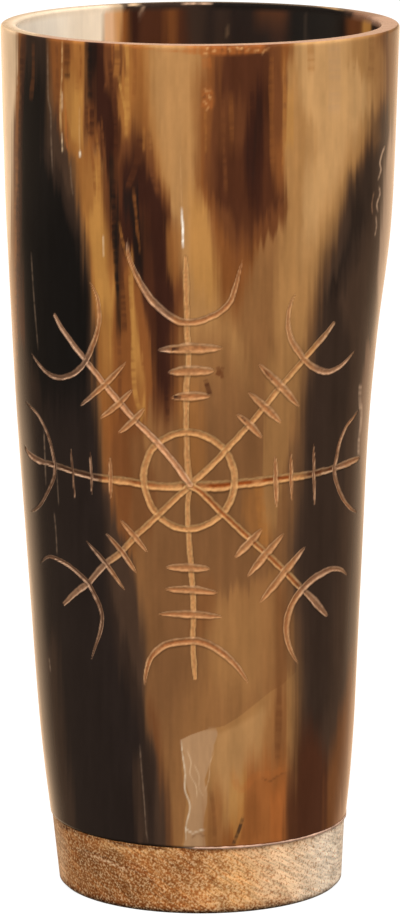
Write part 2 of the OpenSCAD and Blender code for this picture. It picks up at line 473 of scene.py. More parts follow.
# Streaks of the horn's front: colour, softness of the sides in pixels, strength, and rows of
# pixels (how far down, left side, right side), from the top. Later ones lie over earlier ones.
# Places at -40 are above the rim or past the left side.
FRONT_STREAKS = (
    # Grounds of the upper half
    ("amber", 14, 1, (
        (-40, 98, 160), (140, 100, 166), (200, 110, 186), (260, 150, 200), (330, 165, 190),
    )),
    ("tan", 16, 1, (
        (-40, 146, 206), (60, 148, 202), (100, 150, 200), (140, 154, 196), (180, 160, 196),
        (200, 168, 214), (240, 170, 216), (300, 186, 234), (380, 188, 250),
    )),
    ("olive", 18, 0.75, ((332, 190, 232), (380, 188, 240), (420, 188, 240))),
    ("fawn", 14, 0.35, (
        (-40, 150, 194), (60, 156, 192), (100, 156, 190), (140, 162, 184), (170, 168, 188),
        (200, 174, 190), (260, 176, 186),
    )),
    ("honey", 10, 0.6, ((190, 186, 212), (220, 188, 210), (260, 190, 220), (300, 200, 218))),
    ("tan", 14, 1, (
        (-40, 288, 384), (60, 287, 382), (100, 285, 384), (140, 284, 368), (180, 284, 352),
        (220, 282, 340), (250, 280, 328), (280, 278, 318), (330, 276, 308), (420, 286, 300),
    )),
    ("sand", 22, 0.85, (
        (-40, 296, 352), (60, 296, 350), (84, 296, 374), (104, 300, 372), (124, 312, 358),
        (150, 314, 350), (180, 306, 338), (210, 302, 328), (250, 300, 314),
    )),
    # Dark middle of the upper half
    ("russet", 14, 1, (
        (-40, 206, 296), (60, 206, 293), (100, 203, 288), (140, 199, 286), (180, 196, 286),
        (210, 210, 286), (240, 214, 264), (270, 216, 250), (310, 218, 244),
    )),
    ("brown", 12, 1, (
        (-40, 214, 284), (60, 215, 281), (100, 212, 286), (140, 207, 283), (180, 206, 286),
        (206, 214, 288), (226, 220, 280), (256, 230, 252),
    )),
    ("chestnut", 14, 1, (
        (26, 232, 272), (80, 215, 270), (140, 217, 268), (196, 216, 284), (216, 230, 266),
        (240, 242, 250),
    )),
    ("brown", 12, 0.5, ((98, 214, 246), (124, 214, 246), (150, 216, 246))),
    ("oxblood", 10, 0.9, (
        (80, 254, 268), (110, 252, 268), (150, 244, 266), (180, 246, 262), (212, 250, 262),
    )),
    ("ink", 6, 0.35, ((96, 257, 264), (116, 256, 263), (160, 249, 257), (180, 250, 257))),
    ("russet", 8, 0.6, ((104, 276, 287), (150, 274, 286), (186, 276, 286))),
    ("tan", 5, 0.9, ((62, 287, 300), (100, 286, 300), (150, 286, 300), (196, 286, 302), (226, 287, 304))),
    ("honey", 4, 0.5, ((84, 286, 292), (120, 286, 293), (146, 286, 292))),
    # Streaks between the left dark side and the middle
    ("russet", 8, 1, ((-40, 46, 78), (60, 47, 76), (90, 50, 70), (120, 54, 72), (146, 57, 76))),
    ("amber", 8, 1, (
        (-40, 74, 88), (60, 72, 85), (100, 58, 83), (140, 66, 83), (160, 74, 99), (180, 76, 105),
        (200, 76, 109), (220, 84, 112), (260, 88, 117), (300, 93, 126), (340, 98, 130), (400, 102, 134),
        (440, 104, 124),
    )),
    ("honey", 7, 0.9, ((84, 65, 80), (104, 64, 80), (124, 66, 80), (146, 77, 85))),
    ("honey", 8, 0.95, (
        (160, 84, 96), (200, 85, 104), (240, 89, 108), (270, 94, 108), (300, 97, 115), (330, 101, 113),
        (396, 105, 114),
    )),
    ("brown", 8, 1, (
        (-40, 86, 128), (60, 86, 127), (90, 86, 118), (110, 87, 116), (130, 87, 128), (150, 96, 130),
        (170, 106, 126),
    )),
    ("oxblood", 8, 1, (
        (-40, 86, 106), (60, 86, 104), (90, 86, 110), (112, 88, 115), (130, 102, 118), (160, 104, 118),
        (200, 105, 116), (224, 107, 114),
    )),
    ("ink", 6, 0.65, ((30, 86, 97), (70, 86, 97), (108, 87, 97))),
    ("amber", 5, 0.8, (
        (30, 120, 130), (70, 122, 130), (100, 116, 128), (116, 122, 130), (136, 122, 127),
    )),
    ("russet", 6, 0.4, ((40, 131, 142), (60, 133, 142), (110, 134, 148), (140, 138, 150))),
    # Dark wedge that opens down the middle left
    ("brown", 14, 1, (
        (124, 128, 146), (146, 122, 150), (180, 106, 158), (220, 106, 176), (260, 112, 180),
        (300, 124, 188), (340, 144, 182), (390, 146, 182), (430, 152, 178),
    )),
    ("oxblood", 12, 1, (
        (146, 126, 144), (166, 122, 148), (200, 118, 160), (220, 116, 169), (240, 116, 168),
        (260, 132, 169), (300, 142, 176), (340, 152, 172), (380, 154, 175), (408, 156, 172),
    )),
    ("ink", 8, 0.75, (
        (184, 124, 136), (205, 124, 140), (240, 132, 150), (262, 134, 148), (282, 138, 146),
    )),
    ("chestnut", 5, 0.6, ((206, 142, 148), (290, 145, 153), (340, 150, 157))),
    ("chestnut", 5, 0.8, ((160, 117, 124), (190, 115, 124), (214, 113, 120))),
    ("russet", 7, 1, (
        (264, 126, 136), (300, 115, 141), (340, 112, 148), (384, 114, 152), (430, 110, 142),
    )),
    ("ink", 4, 0.8, (
        (160, 108, 115), (205, 110, 117), (250, 113, 120), (300, 116, 121), (340, 118, 122),
    )),
    ("honey", 4, 0.8, (
        (264, 129, 133), (300, 130, 135), (330, 130, 137), (380, 136, 143), (416, 136, 144),
    )),
    # Belt of the engraving
    ("loam", 36, 1, (
        (380, 204, 300), (450, 150, 292), (560, 140, 294), (600, 140, 222), (690, 142, 190),
        (760, 150, 176),
    )),
    ("russet", 12, 0.8, (
        (372, 106, 152), (430, 100, 126), (480, 103, 134), (520, 108, 130), (556, 120, 136),
    )),
    ("amber", 12, 0.5, ((380, 176, 200), (440, 180, 204), (490, 186, 206))),
    ("amber", 10, 0.5, ((490, 246, 264), (515, 244, 270), (545, 252, 272))),
    ("russet", 14, 0.35, ((580, 196, 216), (604, 194, 216), (640, 186, 206))),
    ("tan", 20, 0.35, ((600, 214, 262), (648, 206, 262), (690, 216, 256))),
)

# Long hairs of the front: colour, width in pixels, strength, and the pixels (across, down) along them
FRONT_HAIRS = (
    ("russet", 3, 0.8, ((19.5, 30), (18.5, 70), (17, 120), (15.5, 200), (15, 300), (18, 390))),
    ("oxblood", 5, 0.8, ((23, 30), (22, 60), (21, 110), (19, 200), (19, 300))),
    ("brown", 3, 0.5, ((33, 42), (33, 75), (31, 100))),
    ("sand", 1.8, 0.8, ((62.5, 40), (62, 70), (60, 95), (61, 134))),
    ("oxblood", 5, 0.7, ((67, 42), (67, 62), (67, 80))),
    ("brown", 3, 0.6, ((56, 40), (57, 90), (58, 134))),
    ("amber", 4, 0.8, ((76, 40), (77, 66), (77, 94))),
    ("russet", 2, 0.7, ((80, 42), (81, 60), (80, 80))),
    ("rust", 2, 0.7, ((64.5, 98), (66, 140), (68, 152))),
    ("ink", 5, 0.7, ((90, 40), (90, 70), (90, 104))),
    ("brown", 3, 0.8, ((107, 40), (107, 70), (105, 92))),
    ("russet", 2, 0.8, ((112, 40), (112, 56), (111, 72))),
    ("chestnut", 4, 0.9, ((108, 50), (112, 84), (116, 110), (116, 150), (114, 200), (113, 250))),
    ("honey", 3, 0.9, ((118, 74), (121, 90), (124.5, 104), (126, 120), (126, 138))),
    ("honey", 4, 0.7, ((126, 40), (127, 62), (127, 80), (127.5, 110), (127, 128))),
    ("russet", 3, 0.5, ((134, 42), (135, 70), (134, 100))),
    ("amber", 3, 0.7, ((96, 132), (98, 160), (99, 204))),
    ("brown", 2.4, 0.8, ((101, 116), (104, 150), (106, 176), (107, 204))),
    ("russet", 2.4, 0.7, ((89, 108), (90, 140), (94, 170), (96, 204))),
    ("ink", 4, 0.8, ((112, 178), (114, 220), (116, 262), (118, 304))),
    ("amber", 3, 0.6, ((119, 222), (124, 245), (129, 262), (132, 290), (131, 322))),
    ("chestnut", 6, 0.8, ((141, 132), (139, 150), (136, 166), (128, 190))),
    ("brown", 5, 0.6, ((149, 130), (150, 146), (152, 170), (158, 196))),
    ("amber", 2.4, 0.6, ((144, 126), (144, 152))),
    ("russet", 2.4, 0.6, ((134, 188), (136, 220), (140, 254))),
    ("honey", 4, 0.8, ((130, 268), (132, 300), (133, 340), (134, 380), (137, 402), (143, 412))),
    ("chestnut", 5, 0.7, ((121, 264), (123, 300), (124, 334))),
    ("russet", 4, 0.8, ((139, 286), (142, 330), (144, 374))),
    ("brown", 4, 0.7, ((118, 326), (120, 380), (121, 424))),
    ("oxblood", 4, 0.7, ((160, 276), (163, 330), (166, 390), (168, 424))),
    ("amber", 5, 0.8, ((117, 40), (117, 60), (116, 78))),
    ("oxblood", 4, 0.8, ((92, 108), (92, 122), (92, 136))),
    ("chestnut", 4, 0.7, ((87, 104), (87, 120), (90, 136))),
    ("amber", 3, 0.4, ((206, 106), (206, 154))),
    ("brown", 4, 0.6, ((222, 92), (224, 150), (226, 196))),
    ("russet", 4, 0.5, ((231, 92), (232, 142))),
    ("oxblood", 5, 0.7, ((251, 84), (252, 130), (250, 180), (252, 210))),
    ("russet", 4, 0.6, ((271, 50), (272, 120), (273, 174))),
    ("amber", 3, 0.6, ((284, 50), (285, 130), (283, 174))),
    ("chestnut", 4, 0.6, ((264, 96), (266, 160), (268, 200), (270, 230))),
    ("putty", 12, 0.4, ((334, 40), (335, 74), (334, 116))),
    ("amber", 7, 0.5, ((310, 42), (311, 72))),
    ("olive", 6, 0.7, ((372, 36), (372, 60), (370, 80))),
    ("sand", 6, 0.5, ((352, 56), (354, 100), (350, 134))),
    ("amber", 9, 0.6, ((258, 480), (262, 520), (266, 560))),
    ("brown", 5, 0.5, ((280, 682), (279, 720), (278, 764))),
    ("rust", 7, 0.3, ((232, 770), (240, 790), (256, 776), (272, 774), (288, 768))),
    ("brown", 5, 0.4, ((210, 790), (214, 815), (215, 848))),
    ("rust", 9, 0.7, ((180, 49), (204, 50), (224, 50.5), (248, 49.5), (270, 47))),
    ("rust", 9, 0.5, ((203, 48), (206, 60), (207, 70))),
    ("rust", 12, 0.5, ((205, 88), (208, 98), (206, 110))),
)

# Plies of the horn that show at the lower front, in the form of the streaks, with clean edges
PLY_STREAKS = (
    ("tan", 1.6, 0.6, (
        (660, 297, 316), (672, 296, 316), (684, 283, 316), (691, 272, 316), (703, 257, 316),
        (715, 242, 316), (726, 224, 316), (731, 201, 316), (735, 190, 316), (740, 181, 316),
        (770, 182, 314), (800, 186, 312), (870, 180, 308),
    )),
    ("fawn", 14, 0.6, (
        (690, 262, 262), (703, 268, 270), (715, 254, 268), (726, 236, 264), (735, 216, 260),
        (760, 212, 256), (780, 218, 252), (800, 226, 248), (830, 230, 244),
    )),
    ("putty", 1.6, 0.8, (
        (729, 208, 216), (732, 199, 217), (735, 190, 217), (740, 180.5, 216), (754, 184, 212),
        (764, 183.5, 210), (780, 185, 205), (793, 188.5, 207), (803, 191, 207), (818, 187.5, 204),
        (831, 185, 204), (860, 183.5, 208),
    )),
)

# Streaks of the sides and the lower part, in the same form, which lie over the plies
SIDE_STREAKS = (
    # Upper right, left of the dark side
    ("chestnut", 5, 0.4, ((136, 362, 374), (200, 357, 370), (260, 357, 367), (310, 355, 362))),
    # Lower part, where the plies of the horn show
    ("russet", 14, 0.5, ((690, 268, 300), (760, 264, 300), (800, 268, 294))),
    ("brown", 9, 0.5, ((580, 275, 290), (650, 275, 288), (690, 275, 286), (764, 275, 285))),
    ("tan", 4, 0.6, ((676, 286, 294), (720, 286, 295), (756, 287, 295), (780, 284, 291))),
    ("copper", 16, 0.85, ((762, 246, 294), (800, 240, 292), (870, 210, 290))),
    ("russet", 10, 0.6, ((786, 208, 222), (820, 206, 224), (870, 205, 238))),
    ("honey", 8, 0.5, ((776, 230, 248), (812, 226, 246), (834, 228, 244))),
    ("russet", 8, 0.4, ((800, 246, 262), (830, 246, 264), (850, 228, 240))),
    ("rust", 6, 0.6, ((790, 270, 287), (860, 270, 285))),
    ("brown", 8, 0.7, ((700, 149, 156), (740, 152, 162), (800, 156, 168), (870, 158, 174))),
    # Dark left side
    ("bark", 12, 1, (
        (96, 46, 56), (124, 46, 62), (144, 44, 68), (160, 44, 75), (184, 44, 77), (220, 50, 82),
        (250, 60, 86),
    )),
    ("bark", 12, 1, (
        (480, 92, 108), (530, 94, 118), (560, 94, 134), (580, 94, 138), (620, 96, 143), (660, 98, 146),
        (700, 100, 146), (730, 118, 150), (760, 128, 160), (800, 132, 166), (880, 138, 168),
    )),
    ("umber", 10, 1, (
        (-40, 18, 46), (80, 16, 50), (100, 14, 48), (150, 14, 50), (180, 14, 64), (200, 14, 74),
        (240, 14, 85), (300, 14, 91), (350, 14, 97), (430, 14, 96), (470, 16, 100), (530, 20, 106),
        (580, 24, 108), (640, 30, 126), (700, 34, 144), (740, 40, 150), (768, 44, 156), (880, 50, 158),
    )),
    ("ink", 12, 1, (
        (70, 20, 44), (110, 16, 46), (160, 15, 44), (200, 15, 62), (240, 18, 80), (300, 22, 88),
        (350, 28, 90), (400, 40, 88), (440, 56, 86),
    )),
    ("pitch", 16, 1, (
        (400, 30, 98), (470, 32, 100), (530, 36, 106), (600, 42, 108), (660, 46, 118), (700, 50, 132),
        (740, 54, 144), (880, 62, 148),
    )),
    ("bark", 7, 0.75, ((756, 135, 143), (790, 136, 145), (850, 138, 148))),
    ("bark", 10, 0.6, ((640, 44, 56), (760, 52, 68), (840, 58, 78))),
    # Dark right side
    ("bark", 24, 1, to_right(
        (-40, 380), (100, 380), (120, 374), (140, 376), (160, 364), (180, 350), (200, 343), (220, 336),
        (250, 326), (280, 319), (320, 314), (360, 307), (430, 300), (480, 295), (550, 288), (620, 292),
        (700, 295), (744, 295), (800, 292), (880, 286),
    )),
    ("umber", 14, 0.85, (
        (140, 368, 378), (200, 354, 376), (225, 350, 367), (260, 340, 360), (300, 324, 340),
        (340, 322, 352), (384, 312, 352), (440, 308, 346), (560, 300, 338), (640, 304, 334),
        (700, 303, 330), (750, 300, 318), (800, 302, 314),
    )),
    ("ink", 8, 0.4, (
        (200, 354, 364), (224, 354, 362), (250, 346, 354), (290, 328, 336), (310, 328, 334),
    )),
    ("chestnut", 12, 0.9, ((730, 296, 320), (770, 294, 328), (816, 286, 330), (870, 284, 330))),
    ("russet", 14, 0.75, to_right(
        (600, 366), (640, 357), (690, 346), (720, 338), (750, 332), (780, 327), (816, 325), (880, 322),
    )),
    ("russet", 9, 0.5, ((-40, 374, 384), (60, 374, 384), (90, 376, 384), (110, 376, 382))),
    # Pale edges: cream at the upper left is the horn's own colour; the pale bands down the right side
    # are partly the horn's colour and partly painted reflection of the light at the side
    ("amber", 4, 0.8, ((-40, 13, 21), (100, 12, 20), (200, 11, 18), (260, 12, 18))),
    ("cream", 5, 1, (
        (-40, -40, 18), (60, -40, 16), (100, -40, 13), (150, -40, 12.2), (210, -40, 11), (250, -40, 9),
        (280, -40, 4), (310, -40, -8),
    )),
    ("brown", 5, 0.7, ((-40, 16, 25), (60, 16, 25), (90, 15, 21), (120, 14, 19))),
    ("chestnut", 6, 0.9, ((110, 12, 18.6), (200, 12, 19), (270, 13, 23), (340, 16, 25))),
    ("tan", 8, 0.5, to_right((20, 388), (90, 388), (120, 391), (160, 400))),
    # Painted reflection down the right side, over some of the horn's own colour
    ("salmon", 6, 0.35, to_right(
        (640, 360), (700, 353.4), (740, 350), (780, 345), (820, 339), (880, 332),
    )),
    ("rose", 6, 0.7, to_right(
        (40, 404), (90, 397), (136, 391), (160, 388), (200, 386), (240, 383), (280, 379), (330, 377),
        (380, 378),
    )),
    ("clay", 7, 0.55, to_right(
        (240, 394), (320, 377), (366, 364), (410, 359), (450, 358), (500, 361), (560, 366), (620, 369),
        (700, 372),
    )),
    # Deeper and paler places between the streaks
    ("brown", 8, 0.55, (
        (412, 118, 140), (440, 112, 142), (470, 112, 152), (500, 118, 156), (544, 122, 150),
    )),
    ("tan", 8, 0.55, (
        (362, 268, 290), (400, 266, 290), (450, 264, 288), (490, 262, 280), (530, 262, 276),
    )),
    ("bark", 6, 0.4, ((436, 287, 300), (494, 286, 300))),
    ("russet", 5, 0.6, ((106, 83, 96), (140, 84, 96), (190, 84, 95), (214, 86, 94))),
    ("russet", 6, 0.5, ((312, 95, 108), (350, 96, 108), (400, 97, 110))),
    ("brown", 5, 0.8, ((74, 273, 289), (100, 274, 288), (142, 275, 286))),
    ("brown", 6, 0.6, ((74, 204, 218), (110, 204, 217), (134, 206, 214))),
    ("chestnut", 5, 0.5, ((74, 83, 96), (110, 84, 96), (136, 85, 93))),
    ("tan", 5, 0.5, ((46, 368, 384), (84, 368, 384), (106, 370, 380))),
    ("russet", 5, 0.4, ((28, 384, 397), (70, 383, 396), (92, 384, 395))),
    ("russet", 8, 0.5, ((68, 192, 218), (100, 191, 216), (142, 193, 212))),
    ("russet", 6, 0.35, ((148, 190, 204), (204, 191, 204))),
    ("amber", 5, 0.5, ((226, 166, 182), (250, 167, 181), (278, 168, 180))),
    ("russet", 5, 0.35, ((80, 57, 74), (132, 58, 73))),
)

# Small chips below the rim, in the form of the hairs without their colour
CHIPS = (
    (2.2, 0.8, ((206, 49), (209, 47.6))),
    (2.4, 0.8, ((212, 51), (216, 50))),
    (2, 0.7, ((203, 54), (206, 53.4), (208, 55))),
    (2.4, 0.8, ((228, 48), (231, 51))),
    (2.2, 0.8, ((236, 47), (240, 49), (243, 47.4))),
    (2.6, 0.8, ((246, 51), (250, 48.6))),
    (2.4, 0.8, ((254, 51.6), (259, 50))),
    (2, 0.8, ((262, 54), (265, 50), (270, 48))),
    (2, 0.7, ((204, 89), (207, 91), (211, 90))),
    (2.4, 0.7, ((208, 95), (211, 99))),
    (2, 0.6, ((203, 101), (207, 104))),
    (1.8, 0.6, ((209, 106), (206, 111))),
)

# Thin marks on the front, in the form of the hairs, with a few painted highlights among them
FRONT_MARKS = (
    # Chips below the rim
    ("rust", 1.6, 0.6, ((128, 46.6), (150, 49), (172, 51), (198, 52))),
    *(("caramel", *chip) for chip in CHIPS),
    ("brown", 2.4, 0.7, ((222, 47), (223, 52))),
    ("brown", 2.6, 0.6, ((205, 94), (204, 98))),
    # Flecks near the right edge
    ("rose", 1.3, 0.8, ((385, 146), (382, 154), (380, 163), (381, 170), (378, 180))),
    ("rose", 1.3, 0.8, ((379, 186), (380, 194), (377, 204), (378, 212))),
    ("rose", 1.2, 0.6, ((376, 216), (376.6, 226), (375, 236))),
    ("clay", 1.2, 0.6, ((374, 192), (372, 204), (372.6, 214))),
    # Scratches and pale hairs, and one painted highlight
    ("smoke", 1.4, 0.6, ((47.5, 43), (48, 95), (50.5, 112), (51, 140), (52.5, 174))),
    ("cream", 1.2, 0.6, ((62, 92), (62, 112))),
    ("cream", 1.6, 0.8, ((61.6, 132), (62.3, 152))),
    ("sand", 1.4, 0.6, ((79.6, 106), (79.2, 130), (79.8, 156))),
    ("ivory", 2.2, 0.9, ((79.8, 151), (80, 157))),
    ("smoke", 1.2, 0.5, ((70, 160), (71, 180), (73, 196))),
    ("fawn", 1.6, 0.6, ((180, 150), (181, 185), (181.6, 212))),
    # Painted highlight: a short white streak of reflected light
    ("white", 2, 1, ((181.4, 208), (182.6, 226), (183.2, 248))),
    ("cream", 1.4, 0.7, ((103, 235), (103.6, 257))),
    ("smoke", 1.2, 0.5, ((31, 252), (34, 300), (38, 350))),
    ("smoke", 1.2, 0.8, ((43.7, 430), (45.8, 485))),
    ("smoke", 1, 0.5, ((56, 460), (58.6, 506))),
    ("smoke", 1.2, 0.6, ((54, 512), (56, 534), (57, 555))),
    ("smoke", 1.2, 0.7, ((49, 658), (50.5, 672))),
    ("smoke", 1.1, 0.7, ((139.6, 744), (141.5, 770), (144, 800), (146, 830), (148, 842))),
    # Painted highlight along the right crescent
    ("rose", 3, 0.6, ((360.6, 384), (360, 398), (361, 411))),
    ("rose", 2, 0.6, ((362, 404), (361, 424), (359, 440), (358.6, 456))),
    # Edges and cracks of the pale ply, whose pale lines are partly the ply's own colour and partly
    # painted highlight
    ("umber", 3.4, 0.85, ((243, 817), (239, 830), (233, 845))),
    ("ivory", 1.6, 0.5, (
        (181, 740), (183, 758), (185, 772), (185, 790), (190, 806), (186, 826), (186, 840),
    )),
    ("cream", 1.2, 0.5, ((187, 750), (191, 762), (190, 774), (196, 786), (197, 798))),
    ("cream", 1.1, 0.4, ((194, 764), (199, 776), (199, 788), (204, 797))),
    ("cream", 1.1, 0.35, ((214, 752), (210, 764), (209, 778), (205, 792))),
    ("linen", 1.6, 0.45, ((185, 828), (192, 833), (199, 831), (206, 829))),
    ("brown", 2, 0.5, ((191, 838), (198, 834), (206, 837))),
    # Dark spots among the cuts
    ("brown", 4.5, 0.9, ((217, 366), (219, 371), (217, 376))),
    ("brown", 3.5, 0.8, ((223, 367), (221.6, 373), (222.6, 379))),
    ("chestnut", 5, 0.9, ((205, 379), (207.4, 386), (210, 395))),
    ("oxblood", 3, 0.9, ((171, 349.6), (175, 349.2), (179.5, 349.4))),
    ("oxblood", 3.6, 0.9, ((173, 397.4), (176.6, 397.4), (181, 398.4))),
    ("chestnut", 2.4, 0.8, ((263, 369), (268, 375), (273, 381))),
    ("chestnut", 2.4, 0.7, ((242, 417), (246, 422))),
    # Dark hair low on the right
    ("brown", 1.6, 0.6, ((287, 772), (278, 776), (270, 781), (262, 778))),
)

# Streaks of the horn's back: colour, softness in degrees, strength, and rows of a height and the
# bearings of the two sides, from the foot
BACK_STREAKS = (
    ("umber", 8, 1, straight(0, 155, 60, 300)),
    ("bark", 8, 0.9, ((0, 84, 132), (60, 84, 126), (100, 84, 120), (155, 84, 100))),
    ("putty", 6, 0.7, ((40, 88, 89), (70, 84, 90), (100, 80, 94), (125, 80, 96), (155, 84, 94))),
    ("russet", 8, 0.8, ((-6, 74, 100), (16, 76, 96), (34, 82, 88), (44, 86, 87))),
    ("amber", 6, 0.9, ((40, 116, 122), (80, 112, 126), (120, 110, 128), (155, 111, 128))),
    ("honey", 4, 0.7, ((70, 117, 121), (110, 114, 122), (155, 114, 122))),
    ("chestnut", 7, 0.9, ((0, 140, 168), (60, 146, 170), (110, 150, 166), (155, 152, 164))),
    ("ink", 8, 0.8, ((20, 168, 200), (90, 172, 196), (155, 170, 192))),
    ("oxblood", 6, 0.8, ((0, 196, 210), (80, 190, 208), (155, 192, 203))),
    ("russet", 5, 0.9, ((30, 214, 226), (80, 208, 222), (155, 203, 212))),
    ("honey", 5, 0.9, ((50, 222, 232), (90, 214, 230), (155, 208, 218))),
    ("fawn", 9, 0.9, (
        (34, 240, 250), (50, 234, 260), (70, 226, 264), (96, 220, 268), (116, 218, 282), (155, 214, 300),
    )),
    ("cream", 8, 0.95, (
        (50, 244, 250), (70, 238, 258), (90, 232, 264), (110, 224, 272), (124, 222, 290), (155, 216, 300),
    )),
)

# Streaks of the inside, in the same form
INSIDE_STREAKS = (
    ("pitch", 8, 1, straight(0, 160, *ALL_ROUND)),
    ("fawn", 16, 0.9, straight(0, 160, -20, 84)),
    ("fawn", 16, 0.9, ((0, 300, 380), (160, 302, 380))),
    ("umber", 4, 0.9, straight(60, 170, 98, 108)),
    ("honey", 4, 1, straight(60, 170, 107, 115)),
    ("brown", 4, 0.9, ((60, 114, 124), (170, 114, 125))),
    ("ink", 6, 0.9, ((0, 123, 150), (170, 124, 150))),
    ("smoke", 1.5, 0.1, straight(110, 170, 142, 144)),
    ("chestnut", 4, 0.25, straight(60, 170, 149, 156)),
    ("brown", 4, 0.6, ((152.4, 150, 161), (170, 149, 162))),
    ("bark", 5, 0.3, straight(60, 170, 170, 175)),
    ("bark", 5, 0.4, straight(60, 170, 178, 184)),
    ("chestnut", 6, 0.8, straight(60, 170, 184, 201)),
    ("russet", 2.5, 0.5, straight(60, 170, 187, 190.5)),
    ("oxblood", 2, 0.7, straight(60, 170, 200, 203)),
    ("russet", 2, 1, straight(60, 170, 203, 206.4)),
    ("caramel", 2, 1, straight(60, 170, 206, 209)),
    ("peach", 2, 1, straight(60, 170, 208.6, 212)),
    ("linen", 2.4, 1, ((40, 226, 292), (100, 216, 296), (130, 213, 300), (170, 211.4, 302))),
    # Painted light: the pale inside near the rim lightened towards white, for light that shines through
    # the thin horn
    ("white", 16, 0.5, ((120, 228, 300), (170, 228, 304))),
)

# Streaks of the lip, by its share of the wall from the outside in, and by bearing
LIP_STREAKS = (
    ("clay", 8, 1, straight(-1, 3, *ALL_ROUND)),
    ("blush", 8, 0.5, straight(-1, 3, *ALL_ROUND)),
    ("toffee", 12, 0.7, straight(0.1, 3, 108, 134)),
    ("umber", 9, 1, ((-1, 141, 209), (0, 134, 209), (1, 122, 209), (3, 122, 209))),
    ("ink", 9, 0.9, ((-1, 141, 178), (0, 134, 178), (1, 122, 178), (3, 122, 178))),
    ("shell", 5, 1, straight(-1, 3, 206, 306)),
    ("linen", 5, 0.9, straight(0.7, 3, 210, 300)),
)

# Painted highlights on the back of the rim and just inside it, in the form of the marks on the front
RIM_HIGHLIGHTS = (
    ("cream", 3, 0.8, ((128, 5), (134, 4.6), (140, 5))),
    ("rose", 3, 0.6, ((142, 6), (141.6, 12), (141, 17))),
    ("rose", 2.6, 0.7, ((182, 3.8), (194, 3.4), (212, 3.6))),
    ("sand", 2.2, 0.6, ((316, 5), (326, 7), (334, 8.4), (344, 10.4))),
    ("rose", 3, 0.5, ((338.4, 15.6), (339.4, 17))),
    ("putty", 3, 0.15, ((226, 24), (227, 30), (229, 38))),
)

# Streaks of the wood: rows of a height and the bearings of the two sides, from the table
WOOD_STREAKS = (
    # Painted light: the next four rows make the wood paler towards the right, where the light falls
    ("wheat", 22, 1, ((-6, 4, 60), (6, 0, 60), (14, -4, 60))),
    ("straw", 26, 1, ((-6, 34, 150), (6, 26, 150), (14, 16, 150))),
    ("linen", 26, 0.62, ((-6, 48, 150), (6, 48, 150), (14, 44, 150))),
    ("white", 26, 0.4, ((-6, 50, 150), (14, 46, 150))),
    ("straw", 10, 0.5, straight(-4, 16, -120, -68)),
    # Painted shade: the wood darker towards the left
    ("biscuit", 16, 0.9, ((-6, -60, -16), (6, -62, -22), (14, -66, -44))),
    ("biscuit", 8, 0.5, ((5, -14, 6), (13, -8, 10))),
    # Painted contact shadow at the bottom edge: a brown band at the front left and a dark line all round
    ("copper", 3, 0.6, straight(-3, 1.6, -90, 40)),
    ("ink", 2, 1, straight(-3, 0.66, -200, 200)),
)

# Thin marks and soft patches on the wood
WOOD_MARKS = (
    ("wheat", 9, 0.7, ((98, 843), (118, 847), (140, 850), (160, 852), (178, 851))),
    ("copper", 7, 0.6, ((126, 862), (138, 868), (148, 876), (156, 888))),
    ("copper", 8, 0.5, ((186, 852), (191, 862), (184, 876))),
    ("wheat", 10, 0.5, ((204, 866), (216, 872), (230, 882), (240, 894))),
    ("copper", 6, 0.5, ((150, 890), (170, 898), (200, 900), (236, 896))),
    # Darker just below the seam at the left
    ("toffee", 5, 0.9, (
        (56, 821), (62, 825.5), (70, 828.5), (82, 832), (96, 836), (110, 840.5), (124, 843.5), (140, 846),
        (156, 847), (172, 846),
    )),
    ("copper", 3, 0.6, ((174, 850), (204, 851), (232, 850), (252, 848.5))),
    ("toffee", 1.6, 0.8, (
        (66, 847), (79, 850), (92, 852.5), (101, 856), (114, 861), (130, 868), (146, 877),
    )),
    ("straw", 1.5, 0.8, ((84, 854), (99, 858.5), (112, 863.5), (128, 871))),
    ("toffee", 1.4, 0.5, ((126, 868), (131, 876))),
    ("toffee", 1.4, 0.5, ((150, 872), (166, 882), (180, 893))),
    ("toffee", 2.2, 0.8, ((155.5, 849.5), (156.5, 850))),
    ("toffee", 1.8, 0.8, ((113, 842), (114.5, 842.5))),
)

